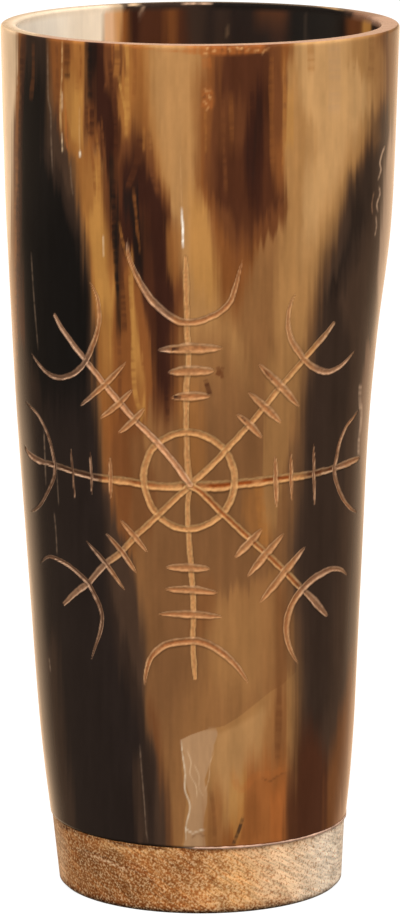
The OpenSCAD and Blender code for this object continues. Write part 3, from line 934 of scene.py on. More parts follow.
# The engraved stave, each stroke cut over the ones before it: kind of cut, breadth in pixels,
# darkness of its core, and the pixels (across, down) along it. The eight stems run outward from
# the centre.
CENTRE = (190, 485)
STAVE = (
    # Left
    ("arm", 9, 0.9, (
        CENTRE, (168.7, 486.8), (146.7, 484.6), (128, 481.4), (107.6, 479), (90.1, 476.2), (71.1, 470.8),
        (52.8, 464.6), (42.9, 462.1), (34.6, 458), (28, 453), (24.6, 447.2),
    )),
    ("bar", 7, 0.5, ((24.6, 446), (28, 453), (36, 459.4), (50, 464))),
    ("bar", 2.6, 0.6, ((70.7, 448), (72.6, 474), (74.8, 499.5))),
    ("bar", 3, 0.6, ((90.1, 451.4), (90.8, 473), (91.8, 494.5))),
    ("bar", 4.4, 0.4, ((110, 457.2), (110.2, 478), (110.5, 498.6))),
    ("crescent", 4.6, 0.7, (
        (25.5, 401.6), (30.4, 406.6), (37.1, 414), (42, 422.3), (46.2, 431.5), (49.5, 441.4), (52, 451.4),
        (53.7, 460.5), (54.5, 469.6), (53.7, 477), (50.3, 486.2), (46.2, 494.5), (41.2, 503.6),
        (35.4, 509.4), (30.4, 511.5),
    )),
    # Right
    ("arm", 10.5, 1, (
        CENTRE, (212, 486), (235.2, 484.2), (258.7, 481.6), (274.9, 479), (305.6, 475.4), (324.7, 470.8),
        (337.1, 467.1), (347.1, 463), (358.7, 458.4),
    )),
    ("bar", 7, 0.35, ((334, 468), (347.1, 463.4), (360, 457.6))),
    ("bar", 5.4, 0.4, ((275.3, 455.5), (276, 480), (276.6, 507.7))),
    ("bar", 4, 0.4, ((291.1, 451.4), (291.5, 477), (291.9, 501.1))),
    ("bar", 3.8, 0.6, ((313.9, 443.1), (314.3, 474), (314.7, 506.1))),
    ("crescent", 5.6, 0.6, (
        (358.7, 409.9), (353.7, 417.4), (347.1, 425.7), (342.1, 436.4), (338.8, 446.4), (337.1, 456.3),
        (335, 466.3), (335, 475.4), (337.1, 483.7), (340.4, 492.8), (345.4, 501.9), (351.2, 508.6),
        (357, 512.3),
    )),
    # Up
    ("stem", 5.4, 0.15, (
        CENTRE, (187.6, 464), (186.6, 435), (186.3, 391), (188.5, 362), (187, 324), (185.8, 275),
        (185.6, 256),
    )),
    ("bar", 10.4, 0.3, ((157.7, 350), (190, 348), (222.7, 348.4))),
    ("bar", 10, 0.25, ((168, 372.4), (190, 370.6), (214.7, 371))),
    ("bar", 8.8, 0.35, ((170.9, 397.6), (190, 396), (210.3, 396.2))),
    ("crescent", 7, 0.35, (
        (127.6, 237), (127.8, 252), (131, 263), (136.5, 275.5), (143.8, 288.5), (153, 301.5),
        (163.8, 311.6), (174, 318.6), (184.8, 322), (199.5, 321), (214.7, 315), (225, 307.7),
        (231.5, 299), (235.8, 285.7), (238.9, 274), (242.5, 260),
    )),
    # Down
    ("stem", 5.2, 0.15, (
        CENTRE, (187.4, 508), (189.2, 542), (190.7, 562.7), (192.2, 584.7), (193.6, 614), (192.9, 643),
        (195.1, 680),
    )),
    ("bar", 8.8, 0.2, ((165.8, 567.4), (188, 567.4), (210.3, 569))),
    ("bar", 8.2, 0.3, ((165, 589), (190, 589.6), (217.6, 592.8))),
    ("bar", 7.4, 0.35, ((158.4, 614), (190, 614.2), (222.7, 617))),
    ("crescent", 7.6, 0.5, (
        (144.5, 685.9), (146.2, 671.5), (150.6, 658), (160, 648), (173.5, 642.5), (192.8, 641),
        (205, 643), (217, 649), (228, 657), (237.5, 667), (244.5, 677), (248.6, 684.4),
    )),
    # Ring
    ("ring", 6.8, 0.3, (
        (186.3, 432), (203, 434.8), (218, 443.5), (229, 457), (234.6, 476), (231.4, 498), (221, 514.6),
        (206, 524.6), (188, 529), (169, 524), (154, 510.5), (145, 490), (144, 469), (152.5, 448.5),
        (168, 436.6), (186.3, 432),
    )),
    # Upper right
    ("stem", 6.2, 0.35, (
        CENTRE, (212.3, 464.6), (225, 450.6), (239.6, 435.4), (251.3, 422.2), (266, 404.6),
        (280.7, 386.2), (304.2, 359), (324.7, 335.6), (335, 321.7),
    )),
    ("bar", 8.2, 0.5, ((258.7, 364.2), (280, 385), (299.7, 406.8))),
    ("bar", 7.4, 0.3, ((248.4, 392.1), (265, 407), (281.4, 422.9))),
    ("bar", 7, 0.3, ((236.7, 414.1), (250, 425), (262.3, 438.3))),
    ("crescent", 6.6, 0.15, (
        (296.1, 293), (291, 303.3), (288.7, 316.5), (288.7, 329.7), (292.4, 341.5), (299.7, 353.2),
        (307.1, 362), (315.9, 368.6), (327.6, 371.6), (337.9, 367.9), (346.7, 360.6), (355.5, 350.3),
    )),
    # Lower left
    ("stem", 6.2, 0.3, (
        CENTRE, (172, 501.6), (158, 514.6), (146.7, 526), (136.4, 534.8), (126.2, 546.5), (117.4, 555.3),
        (108.6, 561.2), (98.3, 571.5), (88, 583.2), (77.7, 590.6), (63.1, 604.5),
    )),
    ("bar", 5.6, 0.3, ((120.3, 520.1), (134, 536), (147.4, 552.4))),
    ("bar", 5.4, 0.5, ((105.6, 533.3), (122, 552), (136.4, 573.7))),
    ("bar", 4.6, 0.6, ((85.8, 540.7), (106, 564), (124.7, 590.6))),
    ("crescent", 5, 0.6, (
        (40.3, 562.7), (48.4, 556.8), (58.7, 559.8), (68.9, 565.6), (79.2, 574.4), (88, 583.2),
        (93.9, 593.5), (99.8, 606.7), (102, 618.4), (99.8, 633.1), (93.9, 650.7), (91, 661),
    )),
    # Lower right
    ("stem", 6.6, 0.85, (
        CENTRE, (201, 492), (212.3, 503), (220, 511), (233.5, 523), (258.7, 546.5), (277.7, 564.1),
        (302.7, 589.1), (314.4, 600.8), (326.9, 615.5),
    )),
    ("bar", 8, 0.3, ((302, 588.4), (314.4, 600.8), (328, 616.4))),
    ("bar", 8.2, 0.2, ((262.3, 528.9), (249, 543), (235.2, 557.5))),
    ("bar", 8.2, 0.25, ((284.3, 533.3), (266, 554), (247.7, 576.6))),
    ("bar", 8.2, 0.3, ((305.6, 546.5), (283, 574), (260.1, 603))),
    ("crescent", 7.6, 0.35, (
        (347.4, 575.2), (340.8, 569.3), (330.6, 569.3), (320.3, 574.4), (311.5, 580.3), (302.7, 589.1),
        (293.9, 600.8), (288, 615.5), (286.5, 630.2), (288, 641.9), (292.4, 653.6), (298.3, 663.9),
    )),
    # Upper left
    ("slash", 5.8, 0.2, (
        CENTRE, (175.8, 465), (156.5, 442), (136, 421.6), (117.4, 400.2), (104, 384), (93.9, 370.8),
        (83.6, 357.6), (71.9, 343), (61.6, 328.3), (53.5, 313.6),
    )),
    ("bar", 5.8, 0.25, ((126.2, 362), (104, 385), (79.9, 406))),
    ("bar", 6, 0.2, ((132.8, 389.2), (117, 405), (99.8, 418.5))),
    ("bar", 6.6, 0.2, ((144.5, 408.2), (132, 422), (118.1, 433.2))),
    ("crescent", 5.8, 0.4, (
        (88.5, 280.6), (93.6, 289), (97.6, 300), (99, 313), (98.2, 326), (94, 341), (87.4, 357),
        (80.6, 367.5), (70.5, 375), (59, 377.6), (48.6, 374), (40, 366), (31, 353),
    )),
)
# Each kind of cut: its depth in millimetres, and the colours of its floor and of the painted highlight on
# its rims, on pale horn
CUTS = {
    "stem": (0.26, "caramel", "sand"),
    "arm": (0.3, "caramel", "sand"),
    "slash": (0.28, "salmon", "peach"),
    "bar": (0.25, "bronze", "apricot"),
    "crescent": (0.28, "bronze", "apricot"),
    "ring": (0.26, "caramel", "sand"),
}
# How much of a linear colour's brightness each channel gives, and the brightness where horn turns
# pale, with its softness
BRIGHTNESS_SHARES = np.array((0.2126, 0.7152, 0.0722))
PALE_HORN = (0.03, 0.03)
# How cuts end: the powers of the round ends, how much an arm narrows, and the tips of the others
ROUND_ENDS = {"bar": 0.48, "crescent": 0.5}
ARM_NARROWING = 0.5
TIP_SHARE = 0.6
TIP_LENGTH = 15
END_SLOPE = 4
END_OFFSET = 0.6
# How cuts are worked out: reach in half widths, least width, least gap, and what counts as far off
CUT_REACH = 1.6
THINNEST = 0.02
LEAST_GAP = 0.01
FAR_OFF = 9
SIDES_APART = 3
RAGS_APART = 5
# Places across a cut in half widths, each with its softness
CUT_EDGE = (1, 0.2)
RIM_PLACE = (0.76, 0.26)
BRINK_PLACE = (1.26, 0.23)
CORE_WIDTH = 0.6
DEPTH_POWER = 0.8
FRESH_GAIN = 1.6
GROUND_SHARE = 0.15
CORE_COVER = 0.9
# Levels and slopes: painted highlight on rims in pale and in dark horn, by how far below the cut's middle
# they lie or by how ragged they are; how whole and how broken a rim is, by the darkness of the cut's
# core; and the painted shadow outside a rim
PALE_RIM = (0.85, -0.5)
PALE_RAGS = (0.85, 0.4)
DARK_RIM = (0.55, 0.5)
WHOLE_RIM = (1.2, -0.7)
BROKEN_RIM = (0.3, 1.3)
BRINK_SHADE = (0.25, 0.25)


def streaked(colours, across, along, streaks):
    """Lays streaks over colours at the places (across, along)."""
    for name, soft, strength, rows in streaks:
        down, left, right = np.array(rows, float).T
        start, end = down[0], down[-1]
        side = soft / 2
        fade = END_SHARE * min(end - start, END_SOFTNESS * soft)
        share = (
            past(across - np.interp(along, down, left), (0, side))
            * past(np.interp(along, down, right) - across, (0, side))
            * past(along, (start, fade)) * short_of(along, (end, fade)) * strength
        )
        colours = mixed(colours, paint(name), share)
    return colours


def smooth_path(points, closed=False):
    """A smooth curve through points, as more points."""
    points = np.asarray(points, float)
    if closed:
        points = np.vstack((points[-2], points, points[1]))
    else:
        points = np.vstack((2 * points[0] - points[1], points, 2 * points[-1] - points[-2]))
    u = np.linspace(0, 1, PATH_STEPS, endpoint=False)[:, None]
    parts = []
    for a, b, c, d in zip(points, points[1:], points[2:], points[3:]):
        square = a - 2.5 * b + 2 * c - d / 2
        cube = 1.5 * (b - c) + (d - a) / 2
        parts.append(b + u * (c - a) / 2 + u**2 * square + u**3 * cube)
    return np.vstack((*parts, points[-2:-1]))


def close_by(places, path, reach):
    """Numbers of the places that lie within reach of the box round a path."""
    low = path.min(0) - reach
    high = path.max(0) + reach
    return np.flatnonzero(((places > low) & (places < high)).all(1))


def near_path(path, places):
    """For places: distance to a path, side of it, how much below it, share of the way, and its length."""
    steps = np.diff(path, axis=0)
    lengths = np.linalg.norm(steps, axis=1)
    starts = np.concatenate(((0,), np.cumsum(lengths)))
    best = np.full(len(places), np.inf)
    side = np.zeros(len(places))
    below = np.zeros(len(places))
    share = np.zeros(len(places))
    for start, step, length, before in zip(path, steps, lengths, starts):
        if length == 0:
            continue
        away = places - start
        u = np.clip(away @ step / length**2, 0, 1)
        gap = away - u[:, None] * step
        distance = np.hypot(gap[:, 0], gap[:, 1])
        nearer = distance < best
        best[nearer] = distance[nearer]
        side[nearer] = np.sign(step[0] * gap[nearer, 1] - step[1] * gap[nearer, 0])
        below[nearer] = -gap[nearer, 1] / np.maximum(distance[nearer], LEAST_GAP)
        share[nearer] = (before + u[nearer] * length) / starts[-1]
    return best, side, below, share, starts[-1]


def half_width(kind, share, length, half):
    """Half the width of a cut along its length, as a share of its greatest."""
    if kind == "ring":
        return np.ones_like(share)
    if kind in ROUND_ENDS:
        return np.maximum(np.sin(np.pi * np.clip(share, 0, 1)), 0) ** ROUND_ENDS[kind]
    from_end = (1 - share) * length
    if kind == "arm":
        taper = 1 - ARM_NARROWING * share
    else:
        taper = np.clip(TIP_SHARE + from_end / (TIP_LENGTH * half), 0, 1)
    return taper * ease(END_SLOPE * from_end / half - END_OFFSET)


def line_at(line, x):
    """A level and a slope, read at x."""
    return line[0] + line[1] * x


def hump(x, place):
    """A smooth hump of height 1 over a place with a softness."""
    return np.exp(-(((x - place[0]) / place[1]) ** 2))


def rim_glint(q, below, rags, core, light):
    """How strongly a cut's rims carry a painted highlight, by the place across it and below it, and what
    it is cut in.
    """
    pale = line_at(PALE_RIM, below) * line_at(PALE_RAGS, rags)
    broken = np.clip(line_at(WHOLE_RIM, core) + line_at(BROKEN_RIM, core) * rags, 0, 1)
    lit = pale * light + line_at(DARK_RIM, below) * (1 - light) * broken
    return np.clip(hump(q, RIM_PLACE) * lit, 0, 1)


def engraved(bearing, t, colours):
    """Depth of the engraving at each place, how freshly cut it is, and the colours with the cuts in."""
    places = unrolled(bearing, t)
    depth = np.zeros(len(places))
    cut = np.zeros(len(places))
    pale = past(colours @ BRIGHTNESS_SHARES, PALE_HORN)
    ground = colours.copy()
    for number, (kind, breadth, core, pixels) in enumerate(STAVE):
        deep, floor_name, rim_name = CUTS[kind]
        half = breadth / 2 / PHOTO_SCALE
        path = unrolled(*on_horn(smooth_path(pixels, kind == "ring")))
        near = close_by(places, path, CUT_REACH * half)
        distance, side, below, share, length = near_path(path, places[near])
        run = share * length
        off = distance * side
        wobble = 1 + layered(run, side * SIDES_APART, EDGE_WOBBLE, number)
        width = half * half_width(kind, share, length, half) * wobble
        q = np.where(width > THINNEST, distance / np.maximum(width, THINNEST), FAR_OFF)
        rough = 1 + layered(run, off, GROOVE_NOISE, number)
        dug = np.clip(1 - q**2, 0, 1) * rough * deep * (width / half) ** DEPTH_POWER
        depth[near] = np.maximum(depth[near], dug)
        fresh = short_of(q, CUT_EDGE) * np.clip(width / half * FRESH_GAIN, 0, 1)
        cut[near] = np.maximum(cut[near], fresh)

        light = pale[near]
        grooved = mixed(paint("hollow"), paint("groove"), np.full(len(near), core))
        tone = mixed(grooved, paint(floor_name), light)
        tone += (ground[near] - tone) * GROUND_SHARE
        rags = layered(run, side * RAGS_APART, RIM_RAGS, number)
        # Painted highlight along the rims, stronger on one side of the cut than the other
        glint = mixed(paint("glint"), paint(rim_name), light)
        tone = mixed(tone, glint, rim_glint(q, below, rags, core, light))
        patchy = np.clip(CORE_COVER + layered(run, side, CORE_PATCHES, number), 0, 1)
        heart = np.clip(1 - (q / CORE_WIDTH) ** 2, 0, 1) * core * patchy
        tone = mixed(tone, mixed(paint("char"), paint("burn"), light), heart)
        tone *= 1 + layered(run, off, CUT_SPECKS, number)[:, None]
        # Painted shadow just outside the rim, deeper on the side below the cut
        colours[near] *= 1 - (hump(q, BRINK_PLACE) * line_at(BRINK_SHADE, below))[:, None]
        colours[near] = mixed(colours[near], tone, fresh)
    return depth, cut, colours


def marked(colours, across, down, marks):
    """Draws thin marks over colours at the pixels (across, down)."""
    places = np.stack((across, down), 1)
    for number, (name, width, strength, pixels) in enumerate(marks):
        path = smooth_path(pixels)
        near = close_by(places, path, 2 * width)
        distance, side, _, share, length = near_path(path, places[near])
        taper = np.clip(MARK_TAPER * (MARK_END_SHARE + np.minimum(share, 1 - share)), 0, 1)
        patchy = np.clip(MARK_COVER + layered(share * length, side, MARK_PATCHES, number), 0, 1)
        over = ease((width - 2 * distance) / max(width / 3, LEAST_SOFTNESS)) * strength * taper * patchy
        colours[near] = mixed(colours[near], paint(name), over)
    return colours


def fibred(colours, across, along, seed, strength=1.0):
    """Fine fibres along the horn, as lighter and darker threads."""
    threads = layered(across, along, THREADS, seed)
    return colours * (1 + THREAD_STRENGTH * strength * threads)[:, None]


def front_colours(points):
    """Colours of the horn's front, painted in the photograph's pixels."""
    across, down = seen_at(points)
    shifted = across + layered(across, down, STREAK_WANDER)
    lowered = down + layered(across, down, STREAK_SLIP)
    colours = streaked(paint("olive", len(points)), shifted, lowered, FRONT_STREAKS)
    colours = streaked(colours, across + layered(across, down, PLY_WANDER), down, PLY_STREAKS)
    colours = streaked(colours, shifted, lowered, SIDE_STREAKS)
    colours = marked(colours, across + layered(across, down, HAIR_WANDER), down, FRONT_HAIRS)
    return fibred(colours, across, down, FRONT_SEED)


def back_colours(around, height):
    """Colours of the horn's back, painted by bearing and height."""
    turned = around + layered(around, height, BACK_WANDER)
    colours = streaked(paint("umber", len(around)), turned, height, BACK_STREAKS)
    return fibred(colours, around * ROUND_SCALE[0], height * ROUND_SCALE[1], BACK_SEED)


def inside_colours(around, height):
    """Colours of the horn's inside."""
    turned = around + layered(around, height, INSIDE_WANDER)
    colours = streaked(paint("pitch", len(around)), turned, height, INSIDE_STREAKS)
    return fibred(colours, around * ROUND_SCALE[0], height * ROUND_SCALE[1], INSIDE_SEED, INSIDE_THREADS)


def lip_colours(around, inset):
    """Colours of the lip, by bearing and from the outside in."""
    turned = around + layered(around, inset, LIP_WANDER)
    colours = streaked(paint("rose", len(around)), turned, inset / RIM_WALL, LIP_STREAKS)
    return fibred(colours, around * LIP_SCALE[0], inset * LIP_SCALE[1], LIP_SEED, LIP_THREADS)


def outside_surface(bearing, t, points):
    """Colours of the outside, how freshly it is cut, its gloss, and how deep it is worked."""
    behind = past(np.abs(bearing), BACK_START)
    colours = mixed(front_colours(points), back_colours(np.mod(bearing, 360), points[:, 2]), behind)
    carved, fresh, colours = engraved(bearing, t, colours)
    across, down = seen_at(points)
    across = np.where(np.abs(bearing) < MARKED_BEARING, across, OUT_OF_SIGHT)
    colours = marked(colours, across, down, FRONT_MARKS)
    worn = past(down, WORN_TOP) * short_of(down, WORN_BOTTOM) * short_of(across, WORN_RIGHT)
    waves = 0.5 + layered(bearing, points[:, 2], FACE_WAVES)
    depth = carved + WAVE_DEPTH * waves * ease((1 - t) * WAVE_RISE - 1)
    return colours, fresh, 1 - WORN_LOSS * worn, depth


def column_bearings():
    """Bearings of the columns of the horn's mesh, close together where it is engraved."""
    middle = FOOT_DIAMETER / 4 + RIM_WIDTH / 4
    count = round(2 * math.radians(ENGRAVED_BEARING) * middle / FINE_CELL)
    fine = np.linspace(-ENGRAVED_BEARING, ENGRAVED_BEARING, count)
    end = 360 - ENGRAVED_BEARING
    plain = np.linspace(ENGRAVED_BEARING, end, round((end - ENGRAVED_BEARING) / BACK_STEP))
    return np.concatenate((fine, plain[1:-1] - 360 * (plain[1:-1] > 180)))


def stretch(start, end, cell):
    """Heights from start to end, about a cell apart, without the end."""
    return np.linspace(start, end, max(round(abs(end - start) / cell), 1), endpoint=False)


def horn_rows():
    """Rows of the horn's mesh as (share of the way up, inset, rise, shift, part), outside first."""
    heights = np.concatenate((
        stretch(HORN_BOTTOM, ENGRAVED_FOOT, COARSE_CELL),
        stretch(ENGRAVED_FOOT, ENGRAVED_HEAD, FINE_CELL),
        stretch(ENGRAVED_HEAD, HORN_TOP, COARSE_CELL),
    ))
    rows = [((z - HORN_BOTTOM) / SPRING_HEIGHT, 0.0, 0.0, 0.0, "outside") for z in heights]
    turns = np.linspace(0, math.pi / 2, LIP_STEPS + 1)
    for number, turn in enumerate(turns):
        part = "outside" if number < LIP_STEPS - 1 else "lip"
        rows.append((1.0, LIP_RADIUS * (1 - math.cos(turn)), LIP_RADIUS * math.sin(turn), 0.0, part))
    for inset in np.linspace(LIP_RADIUS, RIM_WALL - LIP_RADIUS, RIM_STEPS)[1:-1]:
        rows.append((1.0, inset, LIP_RADIUS, OPENING_SHIFT * inset / RIM_WALL, "lip"))
    for turn in turns[::-1]:
        inset = RIM_WALL - LIP_RADIUS * (1 - math.cos(turn))
        rows.append((1.0, inset, LIP_RADIUS * math.sin(turn), OPENING_SHIFT, "lip"))
    for z in stretch(HORN_TOP, PLUG_TOP, INSIDE_CELL)[1:]:
        t = (z - HORN_BOTTOM) / SPRING_HEIGHT
        rows.append((t, wall_at(t), 0.0, OPENING_SHIFT * t, "inside"))
    return rows


def mesh_object(name, points, faces, material, tints=None, measures=()):
    """A smooth mesh piece from points in millimetres and faces of four corners or of any."""
    mesh = bpy.data.meshes.new(name)
    mesh.from_pydata((np.asarray(points) * METRES).tolist(), [], faces)
    mesh.polygons.foreach_set("use_smooth", [True] * len(mesh.polygons))
    if tints is not None:
        rgba = np.concatenate((np.clip(tints, 0, 1), np.ones((len(points), 1))), 1)
        mesh.attributes.new("tint", "FLOAT_COLOR", "POINT").data.foreach_set("color", rgba.ravel())
    for key, values in measures:
        mesh.attributes.new(key, "FLOAT", "POINT").data.foreach_set("value", np.asarray(values, float))
    mesh.materials.append(material)
    mesh.update()
    made = bpy.data.objects.new(name, mesh)
    bpy.context.scene.collection.objects.link(made)
    return made


def ring_faces(rows, columns, closed_rows=False):
    """Faces that join rings of points, each ring closed on itself."""
    row = np.arange(rows if closed_rows else rows - 1)[:, None] * columns
    column = np.arange(columns)[None, :]
    after = (column + 1) % columns
    above = (row + columns) % (rows * columns)
    corners = np.stack((row + column, row + after, above + after, above + column), -1)
    return corners.reshape(-1, 4).tolist()


def node(tree, kind, values=(), **settings):
    """A shader node with its settings made, and its inputs set from pairs of a socket and a value."""
    made = tree.nodes.new(kind)
    for key, value in settings.items():
        setattr(made, key, value)
    for socket, value in values:
        if isinstance(value, bpy.types.NodeSocket):
            tree.links.new(value, made.inputs[socket])
        else:
            made.inputs[socket].default_value = value
    return made


def emptied(owner):
    """The node tree of a material or a world, with nothing in it."""
    owner.use_nodes = True
    owner.node_tree.nodes.clear()
    return owner.node_tree


def new_material(name):
    """A material and its emptied node tree."""
    material = bpy.data.materials.new(name)
    return material, emptied(material)


def shaded(tree, shader):
    """Puts a shader on a material's surface."""
    node(tree, "ShaderNodeOutputMaterial", (("Surface", shader.outputs[0]),))


def painted(tree, name, socket="Fac"):
    """A measure or a colour that the mesh carries."""
    return node(tree, "ShaderNodeAttribute", attribute_name=name).outputs[socket]


def noise(tree, kind):
    """Noise from 0 to 1 over the object, its cells turned about the Y axis."""
    cell, detail, turn = kind
    place = node(tree, "ShaderNodeTexCoord").outputs["Object"]
    mapped = node(tree, "ShaderNodeMapping", (
        ("Vector", place), ("Rotation", (0, turn, 0)), ("Scale", [side * METRES for side in cell]),
    ), vector_type="TEXTURE")
    return node(tree, "ShaderNodeTexNoise", (
        ("Vector", mapped.outputs[0]), ("Scale", 1.0), ("Detail", detail), ("Roughness", NOISE_ROUGHNESS),
    )).outputs["Fac"]


def ranged(tree, value, ends):
    """A value mapped from one range to another, and held there."""
    (low, high), (to_low, to_high) = ends
    return node(tree, "ShaderNodeMapRange", (
        ("Value", value), ("From Min", low), ("From Max", high), ("To Min", to_low), ("To Max", to_high),
    )).outputs[0]


def worked(tree, operation, first, second):
    """Two values added or multiplied."""
    return node(tree, "ShaderNodeMath", ((0, first), (1, second)), operation=operation).outputs[0]


def tinted(tree, colour, factor):
    """A colour multiplied by a value or by another colour."""
    return node(tree, "ShaderNodeVectorMath", ((0, colour), (1, factor)), operation="MULTIPLY").outputs[0]


def blended(tree, share, first, second):
    """Two colours blended by a share of the second."""
    return node(tree, "ShaderNodeMix", (
        ("Factor", share), (FIRST_COLOUR, first), (SECOND_COLOUR, second),
    ), data_type="RGBA").outputs[2]


def relief(tree, bumps, values):
    """Bumps over the surface."""
    strength, height = bumps
    return node(tree, "ShaderNodeBump", (
        ("Strength", strength), ("Distance", height * METRES), ("Height", values),
    )).outputs[0]


def horn_material():
    """Polished horn: painted layers, fine fibres, a deep gloss, and duller cuts."""
    material, tree = new_material("polished_horn")
    fibres = noise(tree, FIBRES)
    mottle = noise(tree, MOTTLE)
    fine = ranged(tree, fibres, FIBRE_SHADE)
    shade = worked(tree, "MULTIPLY", fine, ranged(tree, mottle, MOTTLE_SHADE))
    smear = ranged(tree, mottle, SMEARED_POLISH)
    dull = ranged(tree, painted(tree, "cut"), CUT_DULLNESS)
    shaded(tree, node(tree, "ShaderNodeBsdfPrincipled", (
        ("Base Color", tinted(tree, painted(tree, "tint", "Color"), shade)),
        ("Roughness", worked(tree, "ADD", smear, dull)),
        ("Normal", relief(tree, FIBRE_BUMPS, fibres)),
        ("IOR", CLEAR_IOR),
        ("Specular IOR Level", ranged(tree, painted(tree, "gloss"), GLOSS_LEVEL)),
    )))
    return material


def make_horn(material):
    """The engraved horn, as one closed mesh."""
    bearings = column_bearings()
    rows = horn_rows()
    columns = len(bearings)
    t, inset, rise, shift = (np.array([row[i] for row in rows], float)[:, None] for i in range(4))
    part = np.repeat([row[4] for row in rows], columns)
    points = horn_point(bearings[None, :], t, inset, rise, shift).reshape(-1, 3)
    bearing = np.tile(bearings, len(rows))
    around = np.mod(bearing, 360)
    colours = np.zeros((len(points), 3))
    cuts = np.zeros(len(points))
    depth = np.zeros(len(points))
    gloss = np.ones(len(points))

    outside = np.flatnonzero(part == "outside")
    colours[outside], cuts[outside], gloss[outside], depth[outside] = outside_surface(
        bearing[outside], np.repeat(t[:, 0], columns)[outside], points[outside])
    inside = np.flatnonzero(part == "inside")
    colours[inside] = inside_colours(around[inside], points[inside][:, 2])
    lip = np.flatnonzero(part == "lip")
    colours[lip] = lip_colours(around[lip], np.repeat(inset[:, 0], columns)[lip])
    cuts[lip] = LIP_DULLNESS
    # Painted highlights on the back of the rim and just inside it
    far = np.flatnonzero((part != "outside") & (np.abs(bearing) > FAR_BEARING))
    colours[far] = marked(colours[far], *seen_at(points[far]), RIM_HIGHLIGHTS)

    turn = np.radians(bearing)
    points -= np.stack((np.sin(turn), -np.cos(turn), np.zeros(len(points))), 1) * depth[:, None]
    bore = [turned_points(bearings, BORE_RADIUS, height) for height in (PLUG_TOP, HORN_BOTTOM)]
    hidden = 2 * columns
    return mesh_object(
        "engraved_horn", np.vstack((points, *bore)), ring_faces(len(rows) + 2, columns, True), material,
        np.vstack((colours, paint("umber", hidden))),
        (("cut", np.append(cuts, np.zeros(hidden))), ("gloss", np.append(gloss, np.ones(hidden)))),
    )


def turned_points(bearings, radius, height):
    """A ring of the turned parts, whose seam is tilted and whose foot leans."""
    turn = np.radians(bearings)
    tilt = np.interp(height, (0, BASE_HEIGHT, HORN_BOTTOM, PLUG_TOP), (0, SEAM_TILT, SEAM_TILT, 0))
    lean = WOOD_LEAN * max(1 - height / BASE_HEIGHT, 0)
    return np.stack((
        radius * np.sin(turn) + lean - FOOT_SHIFT,
        -radius * np.cos(turn),
        height - tilt * np.sin(turn),
    ), 1)


def turned_profile(corners, cell):
    """Points along a profile, about a cell apart."""
    parts = []
    for start, end in zip(corners, corners[1:]):
        steps = max(round(math.dist(start, end) / cell), 1)
        parts.append(np.linspace(start, end, steps, endpoint=False))
    return np.vstack((*parts, corners[-1:]))


def turned_bearings(cell):
    """Bearings of the columns of a turned part, about a cell apart at its shoulder."""
    count = round(math.pi * SHOULDER_DIAMETER / cell)
    return np.linspace(-180, 180, count, endpoint=False)


def capped_turning(corners, cell, ends):
    """Points and faces of a turned solid: its profile all round, then a fan to each end's middle."""
    profile = turned_profile(corners, cell)
    bearings = turned_bearings(cell)
    columns = len(bearings)
    points = np.vstack([turned_points(bearings, radius, height) for radius, height in profile])
    first = len(points)
    last = first - columns
    start = [(first, (k + 1) % columns, k) for k in range(columns)]
    end = [(first + 1, last + k, last + (k + 1) % columns) for k in range(columns)]
    return np.vstack((points, *ends)), start + ring_faces(len(profile), columns) + end


def wood_material():
    """Open-grained wood: pale and dark specks of its pores, and a slight sheen."""
    material, tree = new_material("turned_wood")
    specks = noise(tree, SPECKS)
    lined = ranged(tree, noise(tree, RINGS), RING_SHADE)
    patched = ranged(tree, noise(tree, PATCHES), PATCH_SHADE)
    ground = tinted(tree, painted(tree, "tint", "Color"), worked(tree, "MULTIPLY", lined, patched))
    light = blended(tree, ranged(tree, specks, PALE_SPECKS), ground, solid("maple"))
    pore = tinted(tree, ground, PORE_TINT)
    shaded(tree, node(tree, "ShaderNodeBsdfPrincipled", (
        ("Base Color", blended(tree, ranged(tree, specks, DARK_SPECKS), light, pore)),
        ("Roughness", WOOD_ROUGHNESS),
        ("Normal", relief(tree, SPECK_BUMPS, specks)),
        ("Specular IOR Level", WOOD_SHEEN),
    )))
    return material


def make_wood(material):
    """The turned base: its tapering band, its shoulder, and the plug inside the horn."""
    side = BASE_DIAMETER / 2
    points, faces = capped_turning((
        (side * HUB_SHARE, 0.0), (side - BASE_BEVEL, 0.0), (side, BASE_BEVEL),
        (SHOULDER_DIAMETER / 2, BASE_HEIGHT), (PLUG_RADIUS, BASE_HEIGHT),
        (PLUG_RADIUS, PLUG_TOP - PLUG_BEVEL), (PLUG_RADIUS - PLUG_BEVEL, PLUG_TOP),
        (side * HUB_SHARE, PLUG_TOP),
    ), WOOD_CELL, ((WOOD_LEAN, 0, 0), (0, 0, PLUG_TOP)))
    height = points[:, 2]
    bearing = np.degrees(np.arctan2(points[:, 0], -points[:, 1]))
    turned = bearing + layered(bearing, height, WOOD_WANDER)
    colours = streaked(paint("oak", len(points)), turned, height, WOOD_STREAKS)
    across, down = seen_at(points)
    band = (np.abs(bearing) < MARKED_BEARING) & (height < BASE_HEIGHT)
    colours = marked(colours, np.where(band, across, OUT_OF_SIGHT), down, WOOD_MARKS)
    return mesh_object("turned_base", points, faces, material, colours)


def glue_material():
    """Dried glue, slightly shiny."""
    material, tree = new_material("dried_glue")
    uneven = ranged(tree, noise(tree, BEADS), BEAD_SHADE)
    shaded(tree, node(tree, "ShaderNodeBsdfPrincipled", (
        ("Base Color", tinted(tree, painted(tree, "tint", "Color"), uneven)),
        ("Roughness", GLUE_ROUGHNESS),
        ("Specular IOR Level", GLUE_SHEEN),
    )))
    return material


